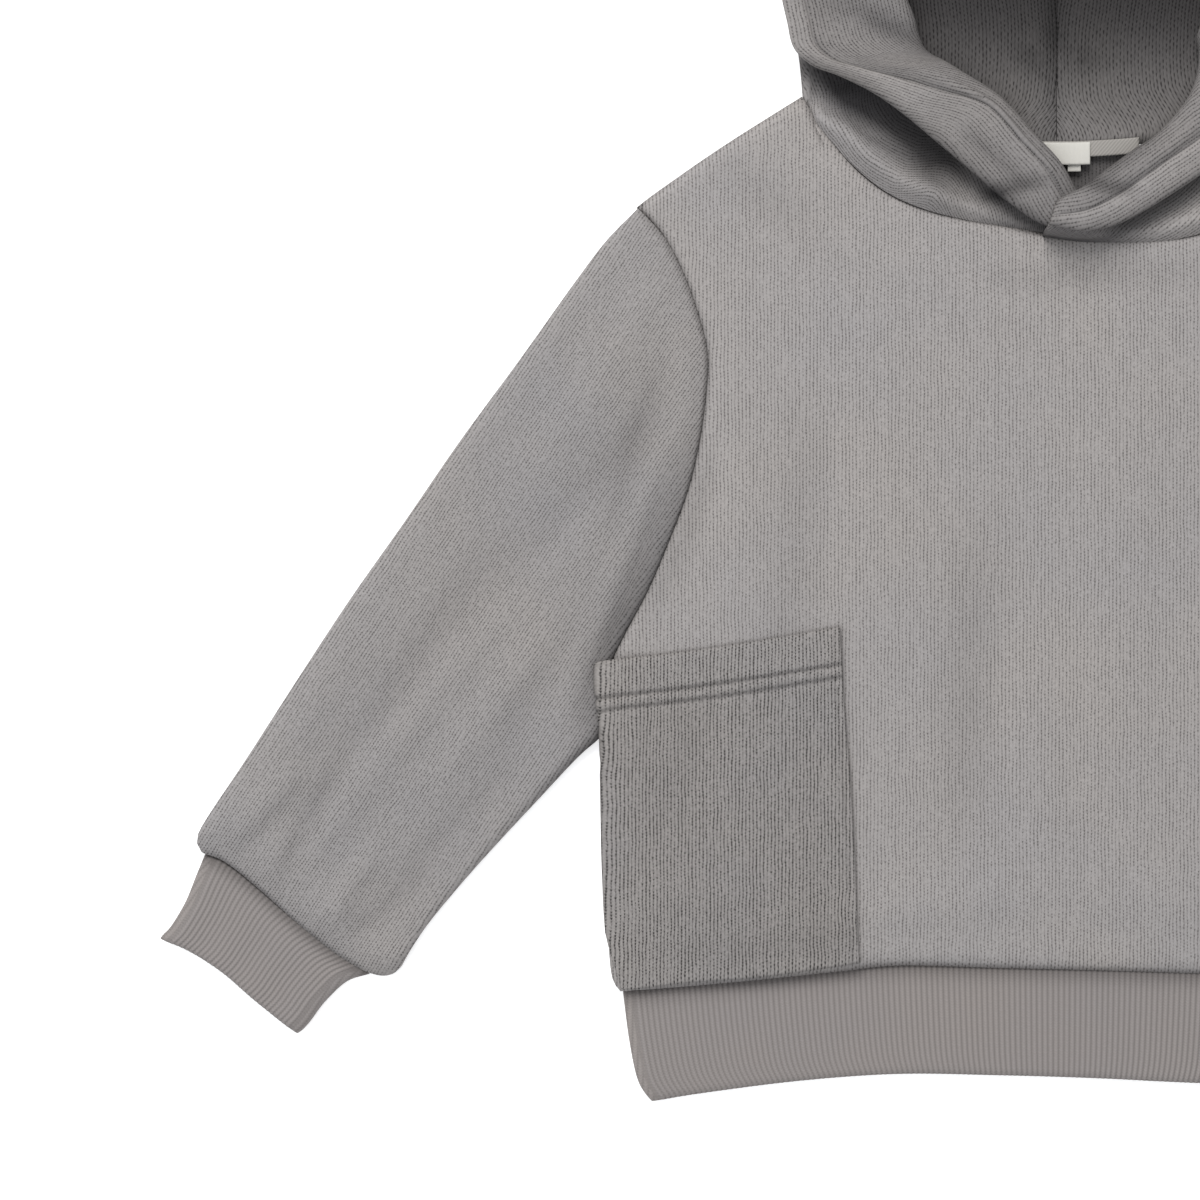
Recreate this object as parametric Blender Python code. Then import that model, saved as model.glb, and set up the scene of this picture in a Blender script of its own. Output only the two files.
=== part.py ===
"""Toddler pull-on hoodie, laid flat on its back: two body panels, set-in sleeves, rib cuffs and hem,
two patch pockets at the side seams and a lined two-piece hood whose front edges fold back and cross.
+X runs across the garment, +Y towards the hood, +Z up from the surface. Sizes below are millimetres."""
import math

import bpy
import numpy as np

MM = 0.001
CLOTH = 2.0            # brushed sweatshirt cloth, body and sleeves
HOOD_CLOTH = 1.8       # each of the two hood layers
RIB_CLOTH = 1.6        # rib knit between its ribs
RIB_HEIGHT = 0.45
RIB_PITCH = 2.08
SEAM = 0.5             # half of the gap left at a curved seam
LAYER = 2.7            # from the middle of the hood's outer cloth to the middle of its lining

GREY = (0.32, 0.30, 0.29, 1.0)
RIB_GREY = (0.29, 0.27, 0.26, 1.0)
CREAM = (0.80, 0.77, 0.69, 1.0)
TAPE_GREY = (0.42, 0.40, 0.38, 1.0)

# half of the body's outline from the hem seam up the side seam, x is half the width
SIDE = [(-174.0, -156.0), (-177.5, -151.0), (-179.0, -136.0), (-180.4, -108.0), (-181.0, -72.0),
        (-181.2, -54.0)]
# the armhole seam from the underarm to the shoulder point
ARMHOLE = [(-181.2, -54.0), (-180.6, -40.0), (-178.0, -25.0), (-172.0, -12.0), (-163.5, 4.0),
           (-155.0, 24.0), (-147.5, 44.0), (-142.8, 64.0), (-140.2, 84.0), (-139.8, 98.0), (-143.0, 112.0),
           (-149.0, 129.0), (-157.0, 144.5), (-168.0, 157.0)]
SHOULDER = [(-168.0, 157.0), (-135.0, 180.0), (-101.6, 201.0)]
# the front neck seam from the left-hand shoulder round to the right-hand one
NECK_FRONT = [(-101.6, 201.0), (-98.0, 192.5), (-90.0, 183.0), (-80.0, 172.0), (-67.6, 162.8), (-53.0, 156.4),
              (-37.0, 152.4), (-21.0, 149.6), (-5.0, 146.2), (9.0, 144.6), (21.0, 144.4), (37.0, 144.0),
              (53.0, 145.6), (67.6, 150.4), (80.0, 160.0), (90.0, 174.5), (98.0, 189.0), (101.6, 201.0)]
NECK_BACK = [(-101.6, 201.0), (-79.0, 191.0), (-47.0, 184.0), (0.0, 180.6), (47.0, 184.0), (79.0, 191.0),
             (101.6, 201.0)]
HEM_SEAM = [(-174.0, -156.0), (-150.0, -154.0), (-118.8, -151.0), (-86.8, -147.6), (-62.8, -145.2),
            (-22.8, -146.2), (17.2, -147.2), (57.2, -148.4), (100.0, -150.0), (140.0, -153.0), (174.0, -156.0)]
HEM_END = [(-162.8, -200.6), (-142.8, -197.2), (-102.8, -192.2), (-62.8, -189.4), (-22.8, -190.0),
           (17.0, -191.2), (50.0, -192.8), (102.8, -195.0), (142.8, -198.0), (162.8, -200.6)]
HEM_SIDE = [(-174.0, -156.0), (-171.4, -176.0), (-168.0, -192.0), (-162.8, -200.6)]

SLEEVE_TOP = [(-168.0, 157.0), (-180.5, 144.0), (-192.5, 128.2), (-215.5, 96.0), (-239.0, 64.0),
              (-261.0, 32.0), (-283.5, 0.0), (-304.5, -32.0), (-325.0, -64.0), (-339.5, -86.0),
              (-344.3, -95.0), (-342.8, -99.6)]
SLEEVE_UNDER = [(-182.2, -54.0), (-184.6, -56.6), (-193.0, -64.0), (-208.0, -80.0),
                (-223.0, -96.0), (-237.5, -112.0), (-251.0, -128.0), (-258.0, -138.0), (-262.0, -145.0)]
CUFF_SEAM = [(-342.8, -99.6), (-333.0, -103.0), (-319.0, -113.5), (-303.0, -127.5), (-287.0, -140.0),
             (-275.0, -147.0), (-267.0, -148.4), (-262.0, -145.0)]
CUFF_TOP = [(-341.6, -101.0), (-344.5, -110.0), (-349.0, -121.0), (-355.0, -131.0), (-359.5, -135.4)]
CUFF_UNDER = [(-274.0, -149.0), (-284.0, -152.6), (-293.0, -161.0), (-299.0, -169.0), (-303.5, -173.8)]
CUFF_END = [(-359.5, -135.4), (-349.0, -139.4), (-335.0, -148.0), (-319.0, -161.6), (-303.5, -173.8)]

# patch pocket, wearer's right: mouth hem, inner edge, bottom and the edge caught in the side seam
POCKET_MOUTH = [(-183.2, -24.6), (-176.0, -23.4), (-150.0, -20.5), (-119.0, -16.0), (-87.0, -10.6)]
POCKET_INNER = [(-79.6, -143.4), (-81.0, -108.0), (-83.0, -72.0), (-85.6, -40.0), (-87.0, -10.6)]
POCKET_BOTTOM = [(-173.2, -153.6), (-150.0, -151.4), (-118.8, -148.6), (-79.6, -143.4)]
POCKET_OUTER = [(-173.2, -153.6), (-177.4, -136.0), (-178.8, -108.0), (-179.6, -72.0), (-181.0, -54.0),
                (-182.8, -38.0), (-183.2, -24.6)]
POCKET_CLOTH = 1.8

# one row for each station round half of the hood's face edge, from the front neck to the crown:
# edge, fold and base are where the folded-back edge, its fold and the neck seam or side fold lie,
# lift raises the folded layers, hump the roll beside the neck seam, loft the folded-back flap
HOOD_COLUMNS = ("edge_x", "edge_y", "fold_x", "fold_y", "base_x", "base_y", "centre_y", "lift", "base_lift",
                "hump", "loft")
HOOD_FRONT_RIGHT = [
    (8.4, 145.8, 12.8, 157.2, 9.0, 144.9, 0, -2.0, -2.2, 0.0, 0.0),
    (-7.0, 150.0, 8.4, 162.8, -5.0, 146.2, 0, -1.8, -2.4, 0.0, 0.0),
    (-21.6, 159.2, 1.2, 174.0, -21.0, 149.6, 0, 1.6, 0.0, 0.6, 1.0),
    (-37.0, 172.0, -9.0, 184.8, -37.0, 152.4, 0, 2.2, 0.0, 1.8, 2.0),
    (-51.0, 183.6, -23.0, 200.0, -53.0, 156.4, 0, 2.4, 0.0, 3.0, 3.0),
    (-63.0, 193.6, -37.0, 209.0, -67.6, 162.8, 0, 2.4, 0.0, 3.6, 3.4),
    (-75.6, 202.4, -45.0, 213.6, -79.6, 172.0, 0, 2.4, 0.0, 3.8, 3.4),
    (-89.0, 209.0, -50.0, 216.0, -90.0, 183.0, 0, 2.2, -0.6, 3.2, 3.2),
    (-99.6, 213.6, -52.6, 218.4, -98.0, 192.5, 0, 1.4, -1.6, 1.6, 3.0),
]
HOOD_FRONT_LEFT = [
    (5.4, 145.6, 1.0, 158.6, 6.0, 144.9, 0, 10.5, 11.1, 0.0, 0.0),
    (-8.4, 144.6, -8.4, 163.8, -7.0, 145.2, 0, 10.5, 11.1, 0.0, 0.3),
    (-21.0, 148.4, -19.6, 172.0, -21.0, 144.6, 0, 6.4, 3.6, 0.0, 1.6),
    (-33.5, 154.6, -30.0, 179.6, -37.0, 144.0, 0, 4.2, 1.0, 0.8, 2.4),
    (-45.5, 162.0, -39.4, 186.0, -53.0, 145.6, 0, 3.2, 0.0, 2.0, 3.0),
    (-58.0, 170.4, -47.0, 194.2, -67.6, 150.4, 0, 2.8, 0.0, 3.0, 3.2),
    (-72.0, 181.0, -52.8, 203.4, -79.6, 159.6, 0, 2.6, 0.0, 3.4, 3.2),
    (-86.0, 194.0, -55.0, 211.4, -90.0, 174.5, 0, 2.2, -0.6, 2.8, 3.2),
    (-98.0, 206.5, -55.6, 218.0, -98.0, 189.0, 0, 1.4, -1.6, 1.4, 3.0),
]
HOOD_UPPER = [
    (-105.6, 219.4, -55.0, 223.4, -101.6, 201.0, 180.6, 1.0, -3.0, 0.0, 3.0),
    (-108.6, 230.0, -57.4, 230.6, -103.2, 217.0, 202.0, 3.0, -3.0, 0.0, 3.0),
    (-111.0, 240.0, -61.0, 240.0, -106.6, 234.0, 226.0, 5.0, -3.0, 0.0, 3.0),
    (-114.2, 258.0, -64.0, 258.0, -109.8, 257.0, 252.0, 7.5, -3.0, 0.0, 2.6),
    (-116.8, 284.0, -65.6, 286.0, -112.2, 284.0, 284.0, 9.0, -3.0, 0.0, 2.4),
    (-115.6, 312.0, -62.0, 314.0, -111.2, 311.6, 316.0, 9.0, -3.0, 0.0, 2.2),
    (-107.6, 340.0, -53.4, 338.0, -103.4, 338.6, 346.0, 8.0, -3.0, 0.0, 2.2),
    (-91.0, 367.0, -40.0, 356.6, -87.6, 364.0, 370.0, 6.5, -3.0, 0.0, 2.2),
    (-66.0, 390.0, -25.4, 368.0, -63.8, 386.4, 387.0, 5.0, -3.0, 0.0, 2.2),
    (-35.0, 405.6, -12.0, 374.4, -34.0, 401.6, 396.6, 4.0, -3.0, 0.0, 2.2),
    (-0.4, 411.6, -0.4, 376.6, -0.4, 407.4, 401.4, 4.0, -3.0, 0.0, 2.2),
]
RIM_WIDTH = 8.6        # how far the hood's outer cloth rolls over its front edge to the lining seam


def clear_scene():
    for old in list(bpy.data.objects):
        bpy.data.objects.remove(old, do_unlink=True)


def curve(rows, count):
    """A smooth line through the rows, as count points evenly spaced along it."""
    pts = np.array(rows, float)
    ends = np.vstack([2 * pts[0] - pts[1], pts, 2 * pts[-1] - pts[-2]])
    dense = []
    for i in range(len(pts) - 1):
        a, b, c, d = ends[i:i + 4]
        for u in np.arange(0, 1, 0.05):
            dense.append(0.5 * (2 * b + (c - a) * u + (2 * a - 5 * b + 4 * c - d) * u * u
                                + (3 * b - a - 3 * c + d) * u ** 3))
    dense.append(pts[-1])
    dense = np.array(dense)
    along = np.concatenate([[0], np.cumsum(np.linalg.norm(np.diff(dense, axis=0), axis=1))])
    want = np.linspace(0, along[-1], count)
    return np.column_stack([np.interp(want, along, dense[:, k]) for k in range(dense.shape[1])])


def shifted(line, by):
    """A plane line moved sideways to its left by so many millimetres."""
    step = np.gradient(line, axis=0)
    step /= np.linalg.norm(step, axis=1)[:, None]
    return line + by * np.column_stack([-step[:, 1], step[:, 0]])


def mirrored(line):
    return np.array(line, float) * np.array([-1.0, 1.0])


def coons(bottom, top, left, right):
    """Plane points filling four sides: bottom and top run along u, left and right along v."""
    nu, nv = len(bottom), len(left)
    u = np.linspace(0, 1, nu)[:, None, None]
    v = np.linspace(0, 1, nv)[None, :, None]
    ruled_v = (1 - v) * bottom[:, None, :] + v * top[:, None, :]
    ruled_u = (1 - u) * left[None, :, :] + u * right[None, :, :]
    corner = ((1 - u) * (1 - v) * bottom[0] + u * (1 - v) * bottom[-1]
              + (1 - u) * v * top[0] + u * v * top[-1])
    return ruled_v + ruled_u - corner


def grid_quads(nu, nv, closed=False):
    quads = []
    for i in range(nu if closed else nu - 1):
        for j in range(nv - 1):
            k = (i + 1) % nu
            quads.append((i * nv + j, k * nv + j, k * nv + j + 1, i * nv + j + 1))
    return quads


def wall(name, middle, quads, thickness, colour, outward=1.0, raised=None):
    """A closed cloth wall: the middle points moved out both ways, joined round every free edge."""
    middle = np.array(middle, float).reshape(-1, 3)
    normal = np.zeros_like(middle)
    edges = {}
    for quad in quads:
        a, b, c, d = (middle[i] for i in quad)
        turn = np.cross(c - a, d - b) * outward
        for i in quad:
            normal[i] += turn
        for i, j in zip(quad, quad[1:] + quad[:1]):
            edges[(i, j)] = True
    normal /= np.maximum(np.linalg.norm(normal, axis=1), 1e-9)[:, None]
    count = len(middle)
    up = np.full(count, thickness / 2) + (0 if raised is None else raised)
    outer = middle + normal * up[:, None]
    inner = middle - normal * (thickness / 2)
    faces = []
    for quad in quads:
        a, b, c, d = quad
        for triangle in ((a, b, c), (a, c, d)):
            front, rear = triangle, tuple(count + i for i in reversed(triangle))
            faces += [front, rear] if outward > 0 else [front[::-1], rear[::-1]]
    for (i, j) in edges:
        if (j, i) not in edges:
            rim = (j, i, count + i, count + j)
            faces.append(rim if outward > 0 else tuple(reversed(rim)))
    add_piece(name, np.vstack([outer, inner]), faces, colour)


def add_piece(name, points, faces, colour):
    PIECES.append((name, np.array(points, float), faces, colour))


def finish_pieces():
    """Puts the middle of the laid-out garment at the origin, its underside at z = 0, and makes the objects."""
    every = np.vstack([points for _, points, _, _ in PIECES])
    low, high = every.min(axis=0), every.max(axis=0)
    move = -np.array([(low[0] + high[0]) / 2, (low[1] + high[1]) / 2, low[2]])
    for name, points, faces, colour in PIECES:
        mesh = bpy.data.meshes.new(name)
        mesh.from_pydata([tuple((p + move) * MM) for p in points], [], [tuple(int(i) for i in f) for f in faces])
        mesh.validate()
        material = bpy.data.materials.new(name + "_cloth")
        material.use_nodes = True
        shader = material.node_tree.nodes["Principled BSDF"]
        shader.inputs["Base Color"].default_value = colour
        shader.inputs["Roughness"].default_value = 0.95
        mesh.materials.append(material)
        bpy.context.scene.collection.objects.link(bpy.data.objects.new(name, mesh))


PIECES = []
BACK_Z = CLOTH / 2
EDGE_Z = BACK_Z + CLOTH + 0.4     # the front panel where it meets the back along a seam
NECK_Z = 6.6                      # the front panel at the neck seam


def rise(distance, reach):
    """From 0 at a seam to 1 where the cloth has rounded up off it."""
    s = min(max(distance / reach, 0.0), 1.0)
    return math.sqrt(max(0.0, 1 - (1 - s) ** 2))


def polyline_distance(point, line):
    best = 1e9
    for a, b in zip(line[:-1], line[1:]):
        d = b - a
        t = min(max(np.dot(point - a, d) / max(np.dot(d, d), 1e-9), 0.0), 1.0)
        best = min(best, float(np.linalg.norm(point - a - t * d)))
    return best


# ---- the body: front and back panels cut alike but for the neck ----
SIDE_LINE = np.vstack([curve(SIDE, 6), curve(ARMHOLE, 14)[1:]])


def body_outline(neck):
    shoulder = curve(SHOULDER, 4)
    return np.vstack([shoulder[:-1], np.array(neck), mirrored(shoulder[::-1])[1:]])


def seam_height(y):
    """The front panel's height at its side edge, and how far in it has rounded up: higher at the armhole."""
    sleeve = min(max((y + 52.0) / 14.0, 0.0), 1.0) * min(max((157.0 - y) / 14.0, 0.0), 1.0)
    return EDGE_Z + 1.8 * sleeve, 9.0 - 3.5 * sleeve


def front_height(x, y, hem_line, side_line, neck_line):
    """How high the middle of the front panel lies: low at its seams, softly lofted between them."""
    p = np.array([x, y])
    low_side, reach = seam_height(y)
    side = rise(polyline_distance(p, side_line) - SEAM, reach)
    hem = rise(polyline_distance(p, hem_line) - SEAM, 5.0)
    loft = 2.6 * math.exp(-((x * 0.9) / 150.0) ** 4) * math.exp(-((y + 20) / 190.0) ** 4)
    fold = 0.7 * math.sin(x / 31.0 + y / 90.0) * math.exp(-((y + 40) / 120.0) ** 2)
    full = low_side + (EDGE_Z + 2.6 + loft + fold - low_side) * side
    low = 4.6
    z = low + (full - low) * hem if hem < 1 else full
    near_neck = math.exp(-(polyline_distance(p, neck_line) / 16.0) ** 2) if y > 90 else 0.0
    return z + (NECK_Z - z) * near_neck


def make_body():
    count = len(NECK_FRONT) + 6
    hem = curve(HEM_SEAM, count)
    hem_cut = shifted(hem, SEAM)
    left = SIDE_LINE.copy()
    left[:, 0] += 0.25
    left[0] = hem_cut[0]
    neck_line = curve(NECK_FRONT, 40)
    top = body_outline(NECK_FRONT)
    top[3:-3] = shifted(top, -SEAM)[3:-3]
    top[0] = left[-1]
    top[-1] = mirrored(left[-1])
    flat = coons(hem_cut, top, left, mirrored(left))
    middle = np.zeros(flat.shape[:2] + (3,))
    for i in range(flat.shape[0]):
        for j in range(flat.shape[1]):
            x, y = flat[i, j]
            side = left if x < 0 else mirrored(left)
            middle[i, j] = (x, y, front_height(x, y, hem, side, neck_line))
    for i in (0, -1):
        middle[i, :, 2] = [seam_height(y)[0] for y in middle[i, :, 1]]
    middle[:, -1, 2] = np.where(np.abs(flat[:, -1, 0]) > 101, EDGE_Z + 0.2, NECK_Z)
    wall("front", middle, grid_quads(*flat.shape[:2]), CLOTH, GREY)
    side_rows = np.vstack([curve(SIDE, 4), curve(ARMHOLE, 14)[1:]])
    side_rows[:, 0] += 0.25
    hem = shifted(curve(HEM_SEAM, len(NECK_BACK) + 6), SEAM)
    side_rows[0] = hem[0]
    top = body_outline(NECK_BACK)
    top[3:-3] = shifted(top, -SEAM)[3:-3]
    top[0], top[-1] = side_rows[-1], mirrored(side_rows[-1])
    flat = coons(hem, top, side_rows, mirrored(side_rows))
    middle = np.dstack([flat, np.full(flat.shape[:2], BACK_Z)])
    wall("back", middle, grid_quads(*flat.shape[:2]), CLOTH, GREY)
    return flat


# ---- tubes laid flat: sleeves, cuffs and the hem band ----
def make_sleeves():
    rows = 14
    top_line = shifted(curve(SLEEVE_TOP, rows), 0.0)
    under = curve(SLEEVE_UNDER, rows)
    armhole = shifted(curve(ARMHOLE, 14), 1.1)
    seam = curve(CUFF_SEAM, 14)
    flat = coons(armhole[::-1], seam, top_line, under)

    def height(v, s):
        open_end = EDGE_Z + 2.6
        puff = 1.0 + 1.6 * math.exp(-((v - 0.93) / 0.06) ** 2)
        body = 7.4 + 1.2 * math.sin(3.0 * v + 2.0 * s) + 0.8 * puff
        if v > 0.97:
            body -= 2.6 * (v - 0.97) / 0.03
        blend = min(v / 0.12, 1.0)
        return open_end + (body - open_end) * blend

    for side, name in ((1, "sleeve_right"), (-1, "sleeve_left")):
        middle = []
        across = [0.0, 0.03] + [k / 13 for k in range(1, 13)] + [0.97, 1.0]
        under_s = [0.985, 12 / 13, 11 / 13, 10 / 13, 7 / 13, 4 / 13, 1 / 13, 0.015]
        ring = [(s, 1) for s in across] + [(s, -1) for s in under_s]
        for s, layer in ring:
            for j in range(rows):
                line = flat[:, j, :]
                width = float(np.sum(np.linalg.norm(np.diff(line, axis=0), axis=1)))
                v = j / (rows - 1)
                top = height(v, s)
                half = (top - CLOTH / 2) / 2
                inset = (CLOTH / 2 + 0.05) / width
                k = min(max(s, inset), 1 - inset) * (len(line) - 1)
                i = min(int(k), len(line) - 2)
                p = line[i] + (line[i + 1] - line[i]) * (k - i)
                curl = rise(min(s, 1 - s) * width, min(half * 1.7, width * 0.3))
                z = CLOTH / 2 + half + half * curl if layer > 0 else CLOTH / 2 + half * (1 - curl)
                middle.append((p[0] * side, p[1], z))
        wall(name, middle, grid_quads(len(ring), rows, closed=True), CLOTH, GREY, outward=-1.0 * side)


def rib_samples(width):
    """Fractions across a rib band, two for each rib, with its two rounded edges added."""
    ribs = int(round((width - 8.0) / RIB_PITCH))
    start, end = 4.0 / width, 1 - 4.0 / width
    body = np.linspace(start, end, 2 * ribs + 1)
    return [0.0, 0.35 * start] + list(body) + [1 - 0.35 * start, 1.0]


def make_rib_tube(name, edge_a, edge_b, seam_line, end_line, rows, side, tall):
    across = rib_samples(float(np.linalg.norm(np.array(edge_b[-1]) - np.array(edge_a[-1]))))
    under = [0.985, 0.9, 0.5, 0.1, 0.015]
    count = 41
    flat = coons(curve(seam_line, count), curve(end_line, count), curve(edge_a, rows), curve(edge_b, rows))
    middle, raised = [], []
    ring = [(s, 1, i) for i, s in enumerate(across)] + [(s, -1, 0) for s in under]
    for s, layer, order in ring:
        for j in range(rows):
            line = flat[:, j, :]
            width = float(np.sum(np.linalg.norm(np.diff(line, axis=0), axis=1)))
            half = (tall[0] + (tall[1] - tall[0]) * j / (rows - 1) - RIB_CLOTH / 2) / 2
            inset = (RIB_CLOTH / 2 + 0.05) / width
            k = (inset + s * (1 - 2 * inset)) * (count - 1)
            i = min(int(k), count - 2)
            p = line[i] + (line[i + 1] - line[i]) * (k - i)
            curl = rise(min(s, 1 - s) * width, half * 1.5)
            z = RIB_CLOTH / 2 + half + half * curl if layer > 0 else RIB_CLOTH / 2 + half * (1 - curl)
            middle.append((p[0] * side, p[1], z))
            raised.append(RIB_HEIGHT if layer > 0 and order % 2 == 1 and 2 < order < len(across) - 2 else 0.0)
    wall(name, middle, grid_quads(len(ring), rows, closed=True), RIB_CLOTH, RIB_GREY, outward=-1.0 * side,
         raised=np.array(raised))


def make_ribs():
    hem = shifted(curve(HEM_SEAM, 41), -SEAM)
    side = [tuple(hem[0])] + HEM_SIDE[1:]
    other = [(-x, y) for x, y in HEM_SIDE]
    other[0] = tuple(hem[-1])
    make_rib_tube("hem_band", side, other, hem, HEM_END, 3, 1, (5.0, 5.6))
    seam = [tuple(p) for p in cuff_seam_line()]
    top = [seam[0]] + CUFF_TOP[1:]
    under = [seam[-1]] + CUFF_UNDER[1:]
    for side, name in ((1, "cuff_right"), (-1, "cuff_left")):
        make_rib_tube(name, top, under, seam, CUFF_END, 3, side, (5.4, 6.2))


def cuff_seam_line():
    """The cuff's own edge at its seam, a little beyond the sleeve's end and narrower than it."""
    rows = [(-341.0, -101.6), (-333.0, -104.8), (-319.6, -115.0), (-304.2, -128.9), (-289.0, -140.8),
            (-279.5, -146.6), (-274.6, -149.4)]
    return curve(rows, 12)


# ---- patch pockets, lying on the front panel ----
POCKET_ROWS = [(0.0, 0.3), (1.4, 1.1), (5.0, 1.5), (10.0, 1.5), (13.8, 1.2), (15.2, 0.1), (16.6, 1.1), (19.4, 1.1),
               (20.8, 0.0), (23.0, 0.4), (34.0, 0.5), (50.0, 0.5), (70.0, 0.5), (90.0, 0.5), (108.0, 0.5),
               (122.0, 0.5), (130.0, 0.2), (135.0, 0.0)]     # depth below the mouth, and how far the cloth is raised


def make_pockets():
    columns = 9
    hem = curve(HEM_SEAM, 31)
    neck_line = curve(NECK_FRONT, 40)
    depth = POCKET_ROWS[-1][0]
    v_at = [1.0 - d / depth for d, _ in POCKET_ROWS][::-1]
    lifts = [r for _, r in POCKET_ROWS][::-1]
    fine = 61
    flat = coons(curve(POCKET_BOTTOM, columns), curve(POCKET_MOUTH, columns),
                 curve(POCKET_OUTER, fine), curve(POCKET_INNER, fine))
    for side, name in ((1, "pocket_right"), (-1, "pocket_left")):
        side_line = SIDE_LINE if side > 0 else mirrored(SIDE_LINE)
        middle, raised = [], []
        for i in range(columns):
            for v, lift in zip(v_at, lifts):
                k = v * (fine - 1)
                j = min(int(k), fine - 2)
                p = flat[i, j] + (flat[i, j + 1] - flat[i, j]) * (k - j)
                p = np.array([p[0] * side, p[1]])

                def z_at(x, y):
                    ground = front_height(x, y, hem, side_line, neck_line)
                    over = min(max((abs(x) - 158.0) / 12.0, 0.0), 1.0) * min(max((y + 74.0) / 20.0, 0.0), 1.0)
                    over = over * over * (3 - 2 * over)
                    inside = front_height(x * 0.962, y, hem, side_line, neck_line)
                    return ground + (max(inside, 8.4) - ground) * over

                z = z_at(*p)
                slope_x = (z_at(p[0] + 0.6, p[1]) - z_at(p[0] - 0.6, p[1])) / 1.2
                slope_y = (z_at(p[0], p[1] + 0.6) - z_at(p[0], p[1] - 0.6)) / 1.2
                n = np.array([-slope_x, -slope_y, 1.0])
                n /= np.linalg.norm(n)
                middle.append(np.array([p[0], p[1], z]) + n * (CLOTH / 2 + 0.55 + POCKET_CLOTH / 2))
                edge = 1.0 if 0 < i < columns - 1 else 0.25
                raised.append(lift * edge)
        wall(name, middle, grid_quads(columns, len(v_at)), POCKET_CLOTH, GREY, outward=1.0 * side,
             raised=np.array(raised))


# ---- the hood: outer cloth and lining of one half, both following the same folds ----
FLAT_OUTER = HOOD_CLOTH / 2                 # the outer cloth where the hood lies on the surface
FLAT_LINING = FLAT_OUTER + LAYER
UNDER_LINING = FLAT_LINING + 2.9            # the layer folded back over it
UNDER_OUTER = UNDER_LINING + LAYER
FLAP_OUTER = UNDER_OUTER + 2.9              # the front edge folded outwards again
FLAP_LINING = FLAP_OUTER + LAYER
FOLD_Z = (UNDER_LINING + FLAP_LINING) / 2
SIDE_Z = (FLAT_OUTER + UNDER_OUTER) / 2


def toward(a, b, distance):
    step = b - a
    return a + step * (distance / max(np.linalg.norm(step), 1e-6))


def hood_section(row, upper):
    """The middle lines of the outer cloth and of the lining at one station, as lists of points."""
    at = dict(zip(HOOD_COLUMNS, row))
    edge, fold, base = (np.array([at[k + "_x"], at[k + "_y"]], float) for k in ("edge", "fold", "base"))
    lift, loft, hump = at["lift"], at["loft"], at["hump"]
    width = float(np.linalg.norm(fold - edge))
    outer_r, lining_r = (FLAP_OUTER - UNDER_OUTER) / 2, (FLAP_LINING - UNDER_LINING) / 2
    centre = width - HOOD_CLOTH / 2 - lining_r
    rim = min(RIM_WIDTH, width * 0.42, centre - 3.2)
    bottom, top = FLAP_OUTER + lift, FLAP_LINING + lift
    crest = top + 0.5 + 0.6 * loft

    def flap(q, z):
        p = toward(edge, fold, q) if width > 0 else edge
        return (p[0], p[1], z)

    low_edge = bottom + 0.35
    half = (crest - low_edge) / 2
    outer = [flap(rim, crest - 0.7), flap(rim * 0.62, crest), flap(rim * 0.34, crest - 0.12 * half)]
    for turn in (55, 90, 125):
        a = math.radians(turn)
        outer.append(flap(HOOD_CLOTH / 2 + min(half, rim * 0.42) * (1 - math.sin(a)),
                          low_edge + half + half * math.cos(a)))
    outer += [flap(min(rim * 0.5, centre * 0.5), low_edge - 0.1), flap(centre * 0.66, bottom + 0.1)]
    lining = [flap(rim + 1.8, crest - 1.1), flap(rim + 0.3 * (centre - rim), top + loft * 0.85),
              flap(rim + 0.62 * (centre - rim), top + loft)]
    inward = (fold - base) / max(float(np.linalg.norm(fold - base)), 1e-6)
    along = (fold - edge) / max(width, 1e-6)
    middle = toward(edge, fold, centre)
    fold_z = FOLD_Z + lift
    for turn in (0, 45, 90, 135, 180):
        a = math.radians(turn)
        way = along * (1 - turn / 180) + inward * (turn / 180)
        way /= np.linalg.norm(way)
        extra = loft * 0.55 * max(math.cos(a), 0.0) ** 2
        for line, radius, puff in ((outer, outer_r, 0.0), (lining, lining_r, extra)):
            p = middle + way * radius * math.sin(a)
            line.append((p[0], p[1], fold_z + radius * math.cos(a) + puff))
    # the layer under the flap, from the fold out to the neck seam or the side fold
    reach = float(np.linalg.norm(base - middle))
    shown = float(np.dot(middle - edge, middle - base)) / max(reach ** 2, 1e-6)
    peak = min(0.5 + 0.5 * max(shown, 0.35), 0.86)
    outside = HOOD_CLOTH / 2 + (UNDER_OUTER - FLAT_OUTER) / 2
    stop = (reach - outside) / reach if upper else 1.0 - 2.1 / reach
    start_z = {0: UNDER_OUTER + lift, 1: UNDER_LINING + lift}
    end_z = UNDER_OUTER if upper else 8.2 + at["base_lift"]
    for f in (0.18, 0.36, 0.54, 0.70, 0.85, 1.0):
        g = f * stop
        p = middle + (base - middle) * g
        blend = f * f * (3 - 2 * f)
        bump = hump * (math.exp(-((f - peak) / 0.15) ** 2) - 0.45 * math.exp(-((f - peak + 0.33) / 0.14) ** 2))
        outer.append((p[0], p[1], start_z[0] + (end_z - start_z[0]) * blend + bump))
        lining.append((p[0], p[1], start_z[1] + (end_z - LAYER - start_z[1]) * blend + bump))
    return outer, lining


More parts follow.
